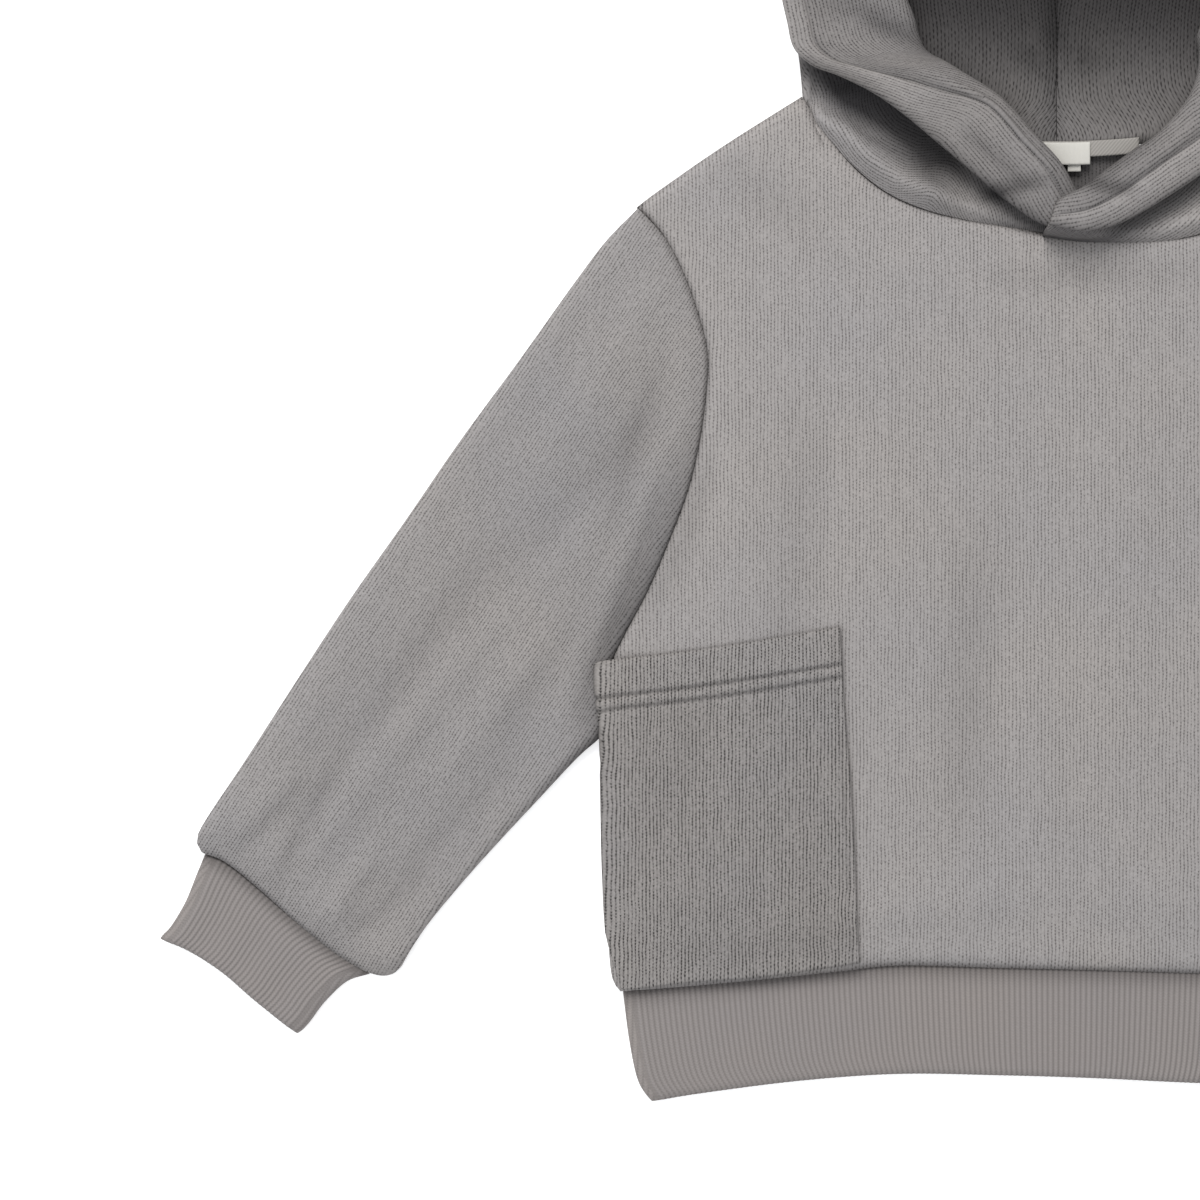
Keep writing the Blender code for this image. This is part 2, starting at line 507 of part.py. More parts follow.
def side_fold(row, first):
    """The rest of a station above the neck: round the side fold and across the surface to the centre seam."""
    at = dict(zip(HOOD_COLUMNS, row))
    edge, fold, base = (np.array([at[k + "_x"], at[k + "_y"]], float) for k in ("edge", "fold", "base"))
    rim_in = toward(edge, fold, float(np.linalg.norm(fold - edge)) - HOOD_CLOTH / 2
                    - (FLAP_LINING - UNDER_LINING) / 2)
    out = (base - rim_in) / np.linalg.norm(base - rim_in)
    outer_r, lining_r = (UNDER_OUTER - FLAT_OUTER) / 2, (UNDER_LINING - FLAT_LINING) / 2
    turn_at = base - out * (HOOD_CLOTH / 2 + outer_r)
    goal = np.array([-0.4, at["centre_y"]])
    outer, lining = [], []
    for turn in (45, 90, 135, 180):
        a = math.radians(turn)
        way = out * (1 - turn / 360) - (goal - turn_at) / np.linalg.norm(goal - turn_at) * (turn / 360)
        way /= np.linalg.norm(way)
        for line, radius in ((outer, outer_r), (lining, lining_r)):
            p = turn_at + way * radius * math.sin(a)
            line.append((p[0], p[1], SIDE_Z + radius * math.cos(a)))
    for f in (0.34, 0.68, 1.0):
        p = turn_at + (goal - turn_at) * f
        if first:
            neck = curve(NECK_BACK[:4], 30)
            k = np.interp(p[0], neck[:, 0], np.arange(30))
            p = np.array([p[0], np.interp(k, np.arange(30), neck[:, 1]) + SEAM])
        outer.append((p[0], p[1], FLAT_OUTER))
        lining.append((p[0], p[1], FLAT_LINING))
    return outer, lining


def make_hood():
    for side, front, ends in ((1, HOOD_FRONT_RIGHT, "right"), (-1, HOOD_FRONT_LEFT, "left")):
        rows = front + HOOD_UPPER
        corner = len(front)
        short = [hood_section(row, i >= corner) for i, row in enumerate(rows)]
        long = [side_fold(row, i == 0) for i, row in enumerate(HOOD_UPPER)]
        for layer, label in ((0, "hood_outer_"), (1, "hood_lining_")):
            a = np.array([s[layer] for s in short])
            b = np.array([s[layer] for s in long])
            count_a, na = a.shape[:2]
            count_b, nb = b.shape[:2]
            points = np.vstack([a.reshape(-1, 3), b.reshape(-1, 3)])
            quads = []
            for i in range(count_a - 1):
                for j in range(na - 1):
                    quads.append((i * na + j, (i + 1) * na + j, (i + 1) * na + j + 1, i * na + j + 1))
            first = count_a * na
            for i in range(count_b - 1):
                ia = corner + i
                quads.append((ia * na + na - 1, (ia + 1) * na + na - 1, first + (i + 1) * nb, first + i * nb))
                for j in range(nb - 1):
                    quads.append((first + i * nb + j, first + (i + 1) * nb + j, first + (i + 1) * nb + j + 1,
                                  first + i * nb + j + 1))
            points = points * np.array([side, 1, 1])
            wall(label + ends, points, quads, HOOD_CLOTH, GREY, outward=1.0 * side)


TAPE = (-27.0, 33.0, 6.4, 0.8)           # from x, to x, width, thickness: twill tape over the neck seam
LABEL = (-7.0, 13.2, 9.0, 0.5)           # woven label, left bare
SIZE_TAB = (4.4, 9.6, 5.2, 0.4)


def strip(name, size, y_top, z, colour, sag=0.0):
    x0, x1, width, thickness = size
    columns = 9 if x1 - x0 > 15 else 3
    middle = []
    for x in np.linspace(x0, x1, columns):
        curve_y = y_top + 3.4 * (x / 47.0) ** 2
        for v in (0.0, 0.5, 1.0):
            middle.append((x, curve_y - width * (1 - v), z + sag * (1 - v)))
    wall(name, middle, grid_quads(columns, 3), thickness, colour)


def make_neck_trim():
    top = FLAT_LINING + HOOD_CLOTH / 2
    tape_z = top + 0.35 + TAPE[3] / 2
    strip("neck_tape", TAPE, 183.6, tape_z, TAPE_GREY)
    label_z = tape_z + TAPE[3] / 2 + 0.4 + LABEL[3] / 2
    strip("neck_label", LABEL, 183.0, label_z, CREAM)
    strip("size_tab", SIZE_TAB, 176.6, label_z - 0.8, CREAM, sag=-0.4)


clear_scene()
make_body()
make_sleeves()
make_ribs()
make_pockets()
make_hood()
make_neck_trim()
finish_pieces()
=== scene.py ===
import math

import bpy
import numpy as np
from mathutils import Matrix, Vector


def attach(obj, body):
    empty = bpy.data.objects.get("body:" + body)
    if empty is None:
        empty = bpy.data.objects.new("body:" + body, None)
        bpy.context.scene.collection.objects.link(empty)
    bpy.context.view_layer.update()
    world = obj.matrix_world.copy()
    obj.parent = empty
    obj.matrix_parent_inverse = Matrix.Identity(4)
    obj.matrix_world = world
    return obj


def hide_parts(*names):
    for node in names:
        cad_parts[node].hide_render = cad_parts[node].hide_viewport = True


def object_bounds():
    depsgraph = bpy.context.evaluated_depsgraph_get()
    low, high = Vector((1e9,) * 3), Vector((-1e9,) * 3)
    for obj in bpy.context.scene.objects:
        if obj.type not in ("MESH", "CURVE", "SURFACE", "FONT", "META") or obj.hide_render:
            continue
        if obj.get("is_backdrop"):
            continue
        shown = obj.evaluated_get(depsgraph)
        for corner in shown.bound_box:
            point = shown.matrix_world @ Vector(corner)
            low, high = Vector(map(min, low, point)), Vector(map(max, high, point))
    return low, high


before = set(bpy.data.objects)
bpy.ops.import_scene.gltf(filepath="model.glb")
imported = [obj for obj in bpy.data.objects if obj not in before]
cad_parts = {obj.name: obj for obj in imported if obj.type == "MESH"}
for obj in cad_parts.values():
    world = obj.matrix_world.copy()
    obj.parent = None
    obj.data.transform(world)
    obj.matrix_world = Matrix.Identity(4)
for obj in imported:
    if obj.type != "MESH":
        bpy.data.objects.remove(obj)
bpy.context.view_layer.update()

# ---------------------------------------------------------------------------------------------------
# Room: a white table, a soft key light from beyond the hood and a wider, cooler fill from the hem side,
# and the camera straight above the wearer's right half of the hoodie.
# ---------------------------------------------------------------------------------------------------
camera_data = bpy.data.cameras.new("camera")
camera_data.sensor_width = 36.0
camera_data.lens = 120.0
camera_data.clip_end = 20.0
camera = bpy.data.objects.new("camera", camera_data)
camera.location = (-0.1828, -0.1054, 1.606)
bpy.context.scene.collection.objects.link(camera)
bpy.context.scene.camera = camera
bpy.context.scene.view_settings.view_transform = "Standard"

world = bpy.data.worlds.new("room")
world.use_nodes = True
world.node_tree.nodes["Background"].inputs["Color"].default_value = (0.97, 0.98, 1.0, 1.0)
world.node_tree.nodes["Background"].inputs["Strength"].default_value = 0.40
bpy.context.scene.world = world


def soft_light(name, place, aim, size, power, tint):
    light = bpy.data.lights.new(name, "AREA")
    light.shape = "SQUARE"
    light.size = size
    light.energy = power
    light.color = tint
    lamp = bpy.data.objects.new(name, light)
    lamp.location = place
    lamp.rotation_euler = (Vector(aim) - Vector(place)).to_track_quat("-Z", "Y").to_euler()
    bpy.context.scene.collection.objects.link(lamp)
    lamp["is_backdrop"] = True


soft_light("key", (-0.4, 1.4, 1.75), (-0.1, 0.0, 0.0), 1.2, 37.0, (1.0, 0.985, 0.965))
soft_light("fill", (-0.9, -0.8, 1.9), (-0.1, 0.0, 0.0), 1.8, 19.0, (0.95, 0.975, 1.0))

table_mesh = bpy.data.meshes.new("table")
table_mesh.from_pydata([(-4, -4, 0), (4, -4, 0), (4, 4, 0), (-4, 4, 0)], [], [(0, 1, 2, 3)])
table = bpy.data.objects.new("table", table_mesh)
white = bpy.data.materials.new("white_table")
white.use_nodes = True
paint = white.node_tree.nodes["Principled BSDF"].inputs
paint["Base Color"].default_value = (0.97, 0.97, 0.97, 1.0)
paint["Roughness"].default_value = 0.9
paint["Specular IOR Level"].default_value = 0.1
paint["Emission Color"].default_value = (1.0, 1.0, 1.0, 1.0)
paint["Emission Strength"].default_value = 0.45
table_mesh.materials.append(white)
bpy.context.scene.collection.objects.link(table)
table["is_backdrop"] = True

# ---------------------------------------------------------------------------------------------------
# Front panel: brushed sweatshirt knit, one piece from the hem seam to the shoulders, sewn to the back
# at the sides and shoulders. It stands a little off the back and puffs over the rib at the hem.
# ---------------------------------------------------------------------------------------------------
PLACE = np.array([0.0, -105.446, 0.0])       # from the garment's own millimetres to the frame's
CLOTH = 2.0
BACK_Z = CLOTH / 2
EDGE_Z = BACK_Z + CLOTH + 0.4
NECK_Z = 6.6
SEAM = 0.25
SIDE = [(-174.0, -156.0), (-177.5, -151.0), (-179.0, -136.0), (-180.4, -108.0), (-181.0, -72.0),
        (-181.2, -54.0)]
ARMHOLE = [(-181.2, -54.0), (-180.6, -40.0), (-178.0, -25.0), (-172.0, -12.0), (-163.5, 4.0), (-155.0, 24.0),
           (-147.5, 44.0), (-142.8, 64.0), (-140.2, 84.0), (-139.8, 98.0), (-143.0, 112.0), (-149.0, 129.0),
           (-157.0, 144.5), (-168.0, 157.0)]
SHOULDER = [(-168.0, 157.0), (-135.0, 180.0), (-101.6, 201.0)]
NECK_FRONT = [(-101.6, 201.0), (-98.0, 192.5), (-90.0, 183.0), (-80.0, 172.0), (-67.6, 162.8), (-53.0, 156.4),
              (-37.0, 152.4), (-21.0, 149.6), (-5.0, 146.2), (9.0, 144.6), (21.0, 144.4), (37.0, 144.0),
              (53.0, 145.6), (67.6, 150.4), (80.0, 160.0), (90.0, 174.5), (98.0, 189.0), (101.6, 201.0)]
NECK_BACK = [(-101.6, 201.0), (-79.0, 191.0), (-47.0, 184.0), (0.0, 180.6), (47.0, 184.0), (79.0, 191.0),
             (101.6, 201.0)]
HEM_SEAM = [(-174.0, -156.0), (-150.0, -154.0), (-118.8, -151.0), (-86.8, -147.6), (-62.8, -145.2),
            (-22.8, -146.2), (17.2, -147.2), (57.2, -148.4), (100.0, -150.0), (140.0, -153.0),
            (174.0, -156.0)]

# soft troughs and ridges: where the middle is, half length, direction, half width, depth
CREASES = [(-150.0, 26.0, 40.0, 68.0, 7.0, -1.4), (-128.0, 62.0, 46.0, 96.0, 10.0, 1.3),
           (-104.0, 18.0, 60.0, 84.0, 13.0, -0.8), (-70.0, 60.0, 70.0, 92.0, 16.0, 0.8),
           (-34.0, -30.0, 60.0, 88.0, 12.0, -1.0), (-8.0, -70.0, 50.0, 95.0, 11.0, 1.0),
           (24.0, 10.0, 80.0, 90.0, 15.0, 0.8), (-60.0, 132.0, 44.0, -24.0, 8.0, 1.1),
           (10.0, 128.0, 50.0, 4.0, 7.0, -0.8), (-52.0, -122.0, 36.0, 6.0, 9.0, 1.3),
           (-100.0, 150.0, 40.0, -34.0, 9.0, -1.0), (20.0, -120.0, 50.0, -5.0, 10.0, 1.0),
           (96.0, 40.0, 60.0, 80.0, 14.0, -1.0), (128.0, 70.0, 44.0, 84.0, 10.0, 1.1),
           (66.0, -60.0, 50.0, 96.0, 12.0, 0.8), (150.0, 22.0, 40.0, 112.0, 7.0, -1.3)]


def curve(rows, count):
    """A smooth line through the rows, as count points evenly spaced along it."""
    pts = np.array(rows, float)
    ends = np.vstack([2 * pts[0] - pts[1], pts, 2 * pts[-1] - pts[-2]])
    dense = []
    for i in range(len(pts) - 1):
        a, b, c, d = ends[i:i + 4]
        for u in np.arange(0, 1, 0.05):
            dense.append(0.5 * (2 * b + (c - a) * u + (2 * a - 5 * b + 4 * c - d) * u * u
                                + (3 * b - a - 3 * c + d) * u ** 3))
    dense = np.array(dense + [pts[-1]])
    along = np.concatenate([[0], np.cumsum(np.linalg.norm(np.diff(dense, axis=0), axis=1))])
    want = np.linspace(0, along[-1], count)
    return np.column_stack([np.interp(want, along, dense[:, k]) for k in range(dense.shape[1])])


def shifted(line, by):
    """The line moved sideways, to its left, by so many millimetres."""
    step = np.gradient(line, axis=0)
    step /= np.linalg.norm(step, axis=1)[:, None]
    return line + by * np.column_stack([-step[:, 1], step[:, 0]])


def mirrored(line):
    return np.array(line, float) * np.array([-1.0, 1.0])


def fill_sides(bottom, top, left, right):
    """Plane points filling four sides: bottom and top run along u, left and right along v."""
    u = np.linspace(0, 1, len(bottom))[:, None, None]
    v = np.linspace(0, 1, len(left))[None, :, None]
    corner = ((1 - u) * (1 - v) * bottom[0] + u * (1 - v) * bottom[-1]
              + (1 - u) * v * top[0] + u * v * top[-1])
    return ((1 - v) * bottom[:, None, :] + v * top[:, None, :]
            + (1 - u) * left[None, :, :] + u * right[None, :, :] - corner)


def distance(points, line):
    """How far each plane point is from a line of points."""
    a, b = line[:-1], line[1:]
    d = b - a
    rel = points[:, None, :] - a[None]
    t = np.clip((rel * d).sum(-1) / np.maximum((d * d).sum(-1), 1e-9), 0, 1)
    return np.linalg.norm(rel - t[..., None] * d, axis=-1).min(axis=1)


def rise(distance_in, reach):
    """A rounded rise from 0 at an edge to 1 at its full reach."""
    s = np.clip(distance_in / reach, 0, 1)
    return np.sqrt(np.maximum(0, 1 - (1 - s) ** 2))


def creased(points, rows):
    """The height that a table of soft troughs and ridges adds at each plane point."""
    height = np.zeros(len(points))
    for x, y, half_length, turn, half_width, depth in rows:
        c, s = math.cos(math.radians(turn)), math.sin(math.radians(turn))
        along = (points[:, 0] - x) * c + (points[:, 1] - y) * s
        across = -(points[:, 0] - x) * s + (points[:, 1] - y) * c
        across = across + 0.0006 * half_width * along * np.abs(along) / max(half_length, 1) * 2
        height += depth * np.exp(-(along / half_length) ** 4) * np.exp(-(across / half_width) ** 2)
    return height


def grid_quads(nu, nv, closed=False):
    i, j = np.meshgrid(np.arange(nu if closed else nu - 1), np.arange(nv - 1), indexing="ij")
    k = (i + 1) % nu
    return np.stack([i * nv + j, k * nv + j, k * nv + j + 1, i * nv + j + 1], axis=-1).reshape(-1, 4)


def cloth(name, middle, quads, thickness, grain, outward=1.0, raised=0.0, thin=1.0, painted_shade=None):
    """A shell of cloth: middle points moved out both ways and joined round every free edge."""
    middle = np.asarray(middle, float).reshape(-1, 3)
    quads = np.asarray(quads)
    if outward < 0:
        quads = quads[:, ::-1]
    normal = np.zeros_like(middle)
    turn = np.cross(middle[quads[:, 2]] - middle[quads[:, 0]], middle[quads[:, 3]] - middle[quads[:, 1]])
    for k in range(4):
        np.add.at(normal, quads[:, k], turn)
    normal /= np.maximum(np.linalg.norm(normal, axis=1), 1e-9)[:, None]
    thin = np.broadcast_to(thin, (len(middle),))[:, None]
    outer = middle + normal * (thickness / 2 * thin + np.broadcast_to(raised, (len(middle),))[:, None])
    inner = middle - normal * thickness / 2 * thin
    count = len(middle)
    edges = np.vstack([quads[:, [k, (k + 1) % 4]] for k in range(4)])
    keys = edges[:, 0] * count + edges[:, 1]
    free = edges[~np.isin(keys, edges[:, 1] * count + edges[:, 0])]
    rims = np.column_stack([free[:, 1], free[:, 0], free[:, 0] + count, free[:, 1] + count])
    faces = np.vstack([quads, quads[:, ::-1] + count, rims])
    mesh = bpy.data.meshes.new(name)
    points = (np.vstack([outer, inner]) + PLACE) * 0.001
    mesh.from_pydata(points.tolist(), [], faces.tolist())
    mesh.polygons.foreach_set("use_smooth", [True] * len(mesh.polygons))
    layer = mesh.uv_layers.new(name="Grain")
    loops = np.empty(len(mesh.loops), dtype=np.int32)
    mesh.loops.foreach_get("vertex_index", loops)
    both = np.vstack([np.asarray(grain, float).reshape(-1, 2)] * 2)
    layer.data.foreach_set("uv", both[loops].ravel())
    # painted shade for each point, kept as a second UV map
    if painted_shade is not None:
        shade = np.column_stack([np.resize(painted_shade, 2 * count), np.zeros(2 * count)])
        mesh.uv_layers.new(name="PaintedShade").data.foreach_set("uv", shade[loops].ravel())
    piece = bpy.data.objects.new(name, mesh)
    bpy.context.scene.collection.objects.link(piece)
    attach(piece, "root")
    return piece


def arithmetic(group):
    """A function that adds one step of arithmetic to a shader group and gives back its result."""
    def step(kind, *values):
        node = group.nodes.new("ShaderNodeMath")
        node.operation = kind
        for socket, value in zip(node.inputs, values):
            if isinstance(value, (int, float)):
                socket.default_value = value
            else:
                group.links.new(value, socket)
        return node.outputs[0]
    return step


def knit_group(name, wale_pitch, course_pitch, line):
    """Knit from a grain in millimetres: upright wales of small V stitches, as height and shade.

    The pitches are those of the wales and of the stitches along them; line is how dark the furrows
    between wales run where they show as lines. Every stitch's hole is dark by its own amount.
    """
    group = bpy.data.node_groups.new(name, "ShaderNodeTree")
    group.interface.new_socket("Grain", in_out="INPUT", socket_type="NodeSocketVector")
    group.interface.new_socket("Height", in_out="OUTPUT", socket_type="NodeSocketFloat")
    group.interface.new_socket("Shade", in_out="OUTPUT", socket_type="NodeSocketFloat")
    nodes, links = group.nodes, group.links
    start, end = nodes.new("NodeGroupInput"), nodes.new("NodeGroupOutput")

    math_node = arithmetic(group)
    wander = nodes.new("ShaderNodeTexNoise")
    wander.inputs["Scale"].default_value = 0.09
    wander.inputs["Detail"].default_value = 3.0
    links.new(start.outputs["Grain"], wander.inputs["Vector"])
    fine = nodes.new("ShaderNodeTexNoise")
    fine.inputs["Scale"].default_value = 0.8
    fine.inputs["Detail"].default_value = 4.0
    links.new(start.outputs["Grain"], fine.inputs["Vector"])
    split = nodes.new("ShaderNodeSeparateXYZ")
    links.new(start.outputs["Grain"], split.inputs[0])
    across = math_node("ADD", split.outputs["X"], math_node("MULTIPLY", wander.outputs["Fac"], 1.5))
    across = math_node("ADD", across, math_node("MULTIPLY", fine.outputs["Fac"], 0.4))
    wale = math_node("MULTIPLY", across, 1 / wale_pitch)
    off = math_node("ABSOLUTE", math_node("SUBTRACT", math_node("FRACT", wale), 0.5))
    gap = math_node("POWER", math_node("MULTIPLY", off, 2.0), 3.0)
    column = math_node("FLOOR", math_node("ADD", wale, 0.5))
    stitch = math_node("MULTIPLY_ADD", split.outputs["Y"], 1 / course_pitch, math_node("MULTIPLY", off, 1.0))
    stitch = math_node("MULTIPLY_ADD", column, 0.5, stitch)
    place = nodes.new("ShaderNodeCombineXYZ")
    links.new(column, place.inputs["X"])
    links.new(math_node("FLOOR", stitch), place.inputs["Y"])
    uneven = nodes.new("ShaderNodeTexWhiteNoise")
    uneven.noise_dimensions = "2D"
    links.new(place.outputs[0], uneven.inputs["Vector"])
    stitch = math_node("SINE", math_node("MULTIPLY", math_node("FRACT", stitch), 2 * math.pi))
    dip = math_node("MULTIPLY_ADD", stitch, -0.5, 0.5)
    hole = math_node("MULTIPLY", gap, dip)
    height = math_node("SUBTRACT", 1.0, math_node("MULTIPLY", gap, 0.45))
    height = math_node("SUBTRACT", height, math_node("MULTIPLY", hole, 0.35))
    height = math_node("SUBTRACT", height, math_node("MULTIPLY", dip, 0.2))
    links.new(height, end.inputs["Height"])
    stretch = nodes.new("ShaderNodeMapping")
    stretch.inputs["Scale"].default_value = (0.35, 0.06, 1.0)
    links.new(start.outputs["Grain"], stretch.inputs["Vector"])
    streak = nodes.new("ShaderNodeTexNoise")
    streak.inputs["Scale"].default_value = 1.0
    streak.inputs["Detail"].default_value = 3.0
    links.new(stretch.outputs[0], streak.inputs["Vector"])
    fade = nodes.new("ShaderNodeClamp")
    links.new(math_node("MULTIPLY_ADD", streak.outputs["Fac"], 4.0, -1.5), fade.inputs["Value"])
    lines = math_node("MULTIPLY", gap, math_node("MULTIPLY_ADD", fade.outputs[0], line, 0.05))
    dots = math_node("MULTIPLY", hole, math_node("MULTIPLY_ADD", uneven.outputs["Value"], 1.9, 0.1))
    soft = nodes.new("ShaderNodeClamp")
    fuzz = math_node("MULTIPLY_ADD", fine.outputs["Fac"], 0.9, -0.38)
    dark = math_node("ADD", math_node("ADD", lines, dots), fuzz)
    links.new(math_node("SUBTRACT", 1.0, dark), soft.inputs["Value"])
    links.new(soft.outputs[0], end.inputs["Shade"])
    return group


KNIT = knit_group("knit", 1.42, 1.25, 0.5)


# the darkest colour that painted shade darkens a cloth towards
DEEPEST_SHADE = (0.11, 0.11, 0.115, 1.0)


def knit_material(name, low, high, group, depth=0.0004, strength=0.5, painted_shade=False):
    """Cloth whose dips are the low colour and whose wales are the high one, in soft clouds of tint.

    depth is the knit's relief in metres. With painted shade turned on, the second UV map holds painted
    shade: how far each point's colour is darkened towards the deepest shade, from 0 for none to 1 for the
    most.
    """
    material = bpy.data.materials.new(name)
    material.use_nodes = True
    nodes, links = material.node_tree.nodes, material.node_tree.links
    shader = nodes["Principled BSDF"]
    shader.inputs["Roughness"].default_value = 0.95
    shader.inputs["Specular IOR Level"].default_value = 0.12
    grain = nodes.new("ShaderNodeUVMap")
    grain.uv_map = "Grain"
    knit = nodes.new("ShaderNodeGroup")
    knit.node_tree = group
    links.new(grain.outputs[0], knit.inputs["Grain"])
    cloud = nodes.new("ShaderNodeTexNoise")
    cloud.inputs["Scale"].default_value = 0.013
    cloud.inputs["Detail"].default_value = 3.0
    links.new(grain.outputs[0], cloud.inputs["Vector"])
    tint = nodes.new("ShaderNodeMixRGB")
    tint.inputs["Color1"].default_value = (high[0] * 0.90, high[1] * 0.93, high[2] * 0.985, 1.0)
    tint.inputs["Color2"].default_value = (high[0] * 1.07, high[1] * 1.045, high[2] * 1.0, 1.0)
    links.new(cloud.outputs["Fac"], tint.inputs["Fac"])
    mix = nodes.new("ShaderNodeMixRGB")
    mix.inputs["Color1"].default_value = (*low, 1.0)
    links.new(knit.outputs["Shade"], mix.inputs["Fac"])
    links.new(tint.outputs["Color"], mix.inputs["Color2"])
    links.new(mix.outputs["Color"], shader.inputs["Base Color"])
    # painted shade: the colour darkened towards the deepest shade by the second UV map
    if painted_shade:
        painted_shade_map = nodes.new("ShaderNodeUVMap")
        painted_shade_map.uv_map = "PaintedShade"
        parts = nodes.new("ShaderNodeSeparateXYZ")
        links.new(painted_shade_map.outputs[0], parts.inputs[0])
        shade = nodes.new("ShaderNodeMixRGB")
        shade.blend_type = "MULTIPLY"
        shade.inputs["Color2"].default_value = DEEPEST_SHADE
        links.new(parts.outputs["X"], shade.inputs["Fac"])
        links.new(mix.outputs["Color"], shade.inputs["Color1"])
        links.new(shade.outputs["Color"], shader.inputs["Base Color"])
    bump = nodes.new("ShaderNodeBump")
    bump.inputs["Strength"].default_value = strength
    bump.inputs["Distance"].default_value = depth
    links.new(knit.outputs["Height"], bump.inputs["Height"])
    links.new(bump.outputs["Normal"], shader.inputs["Normal"])
    return material


SWEATSHIRT = knit_material("sweatshirt_knit", (0.15, 0.14, 0.137), (0.376, 0.355, 0.346), KNIT, painted_shade=True)
HEM_LOW = 5.6
NECK_LINE = curve(NECK_FRONT, 120)
SIDE_LINE = np.vstack([curve(SIDE, 24), curve(ARMHOLE, 50)[1:]])


def seam_height(y):
    sleeve = np.clip((y + 52.0) / 14.0, 0, 1) * np.clip((157.0 - y) / 14.0, 0, 1)
    return EDGE_Z + 1.8 * sleeve, 9.0 - 3.5 * sleeve


def front_height(points):
    """How high the middle of the front panel lies: low at its seams, softly lofted between them."""
    x, y = points[:, 0], points[:, 1]
    low_side, reach = seam_height(y)
    folded = np.column_stack([-np.abs(x), y])
    side = rise(distance(folded, SIDE_LINE) - SEAM, reach)
    hem = rise(distance(points, curve(HEM_SEAM, 60)) - SEAM, 5.0)
    loft = 2.6 * np.exp(-((x * 0.9) / 150.0) ** 4) * np.exp(-((y + 20) / 190.0) ** 4)
    fold = 0.7 * np.sin(x / 31.0 + y / 90.0) * np.exp(-((y + 40) / 120.0) ** 2)
    full = low_side + (EDGE_Z + 2.6 + loft + fold - low_side) * side + creased(points, CREASES) * side
    z = HEM_LOW + (full - HEM_LOW) * hem
    from_neck = distance(points, NECK_LINE)
    near_neck = np.where(y > 90, np.exp(-(from_neck / 16.0) ** 2), 0.0)
    z = z + (NECK_Z + 0.9 - z) * near_neck
    return z - 2.0 * (1 - rise(from_neck, 4.5)) * (y > 90)


def body_panel(neck, count, side_rows):
    """Plane points of a body panel, from the hem seam up to the shoulders and neck."""
    hem = shifted(curve(HEM_SEAM, count), SEAM)
    shoulder = curve(SHOULDER, 22)
    top = np.vstack([shoulder[:-1], shifted(curve(neck, count - 42), -SEAM), mirrored(shoulder[::-1])[1:]])
    left = np.vstack([curve(SIDE, side_rows), curve(ARMHOLE, 2 * side_rows)[1:]])
    left[:, 0] += 0.15
    left[0] = hem[0]
    top[0], top[-1] = left[-1], mirrored(left[-1])
    return fill_sides(hem, top, left, mirrored(left))


flat = body_panel(NECK_FRONT, 141, 36)
plane = flat.reshape(-1, 2)
middle = np.column_stack([plane, front_height(plane)]).reshape(flat.shape[:2] + (3,))
for i in (0, -1):
    middle[i, :, 2] = seam_height(middle[i, :, 1])[0]
from_hem = np.clip((flat[:, :, 1] - flat[:, :1, 1]) / 4.0, 0, 1)
middle[:, :, 1] -= 0.5 * (1 - from_hem) ** 2
middle[:, -1, 2] = np.where(np.abs(flat[:, -1, 0]) > 101.4, EDGE_Z + 0.2, NECK_Z - 1.2)
# painted shade in the troughs of the creases
front = cloth("front_panel", middle, grid_quads(*flat.shape[:2]), CLOTH, plane,
              painted_shade=0.12 * np.clip(-creased(plane, CREASES), 0, 3))
front.data.materials.append(SWEATSHIRT)
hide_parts("front")

# ---------------------------------------------------------------------------------------------------
# Back panel: the same knit, flat on the table under the front. Its inside shows in the neck opening.
# ---------------------------------------------------------------------------------------------------
flat = body_panel(NECK_BACK, 101, 26)
plane = flat.reshape(-1, 2)
middle = np.column_stack([plane, np.full(len(plane), BACK_Z)])
# painted shade on the inside of the back, full across the middle from somewhat below the neck opening upwards
# and fading out towards the sides
neck_painted_shade = (0.72 * np.clip((plane[:, 1] - 120.0) / 20.0, 0, 1)
             * np.clip((70.0 - np.abs(plane[:, 0])) / 20.0, 0, 1))
back = cloth("back_panel", middle, grid_quads(*flat.shape[:2]), CLOTH, plane,
             painted_shade=np.concatenate([neck_painted_shade, np.zeros(len(plane))]))
back.data.materials.append(SWEATSHIRT)
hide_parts("back")

# ---------------------------------------------------------------------------------------------------
# Sleeves: tubes of the same knit pressed flat, set into the armholes and gathered into the cuffs, so
# they puff just above the cuff seam. Creases fan from the underarm.
# ---------------------------------------------------------------------------------------------------
SLEEVE_TOP = [(-168.0, 157.0), (-180.5, 144.0), (-192.5, 128.2), (-215.5, 96.0), (-239.0, 64.0),
              (-261.0, 32.0), (-283.5, 0.0), (-304.5, -32.0), (-325.0, -64.0), (-339.5, -86.0),
              (-344.3, -95.0), (-342.8, -99.6)]
SLEEVE_UNDER = [(-182.2, -54.0), (-184.6, -56.6), (-193.0, -64.0), (-208.0, -80.0),
                (-223.0, -96.0), (-237.5, -112.0), (-251.0, -128.0), (-258.0, -138.0), (-262.0, -145.0)]
CUFF_SEAM = [(-342.8, -99.6), (-333.0, -103.0), (-319.0, -113.5), (-303.0, -127.5), (-287.0, -140.0),
             (-275.0, -147.0), (-267.0, -148.4), (-262.0, -145.0)]
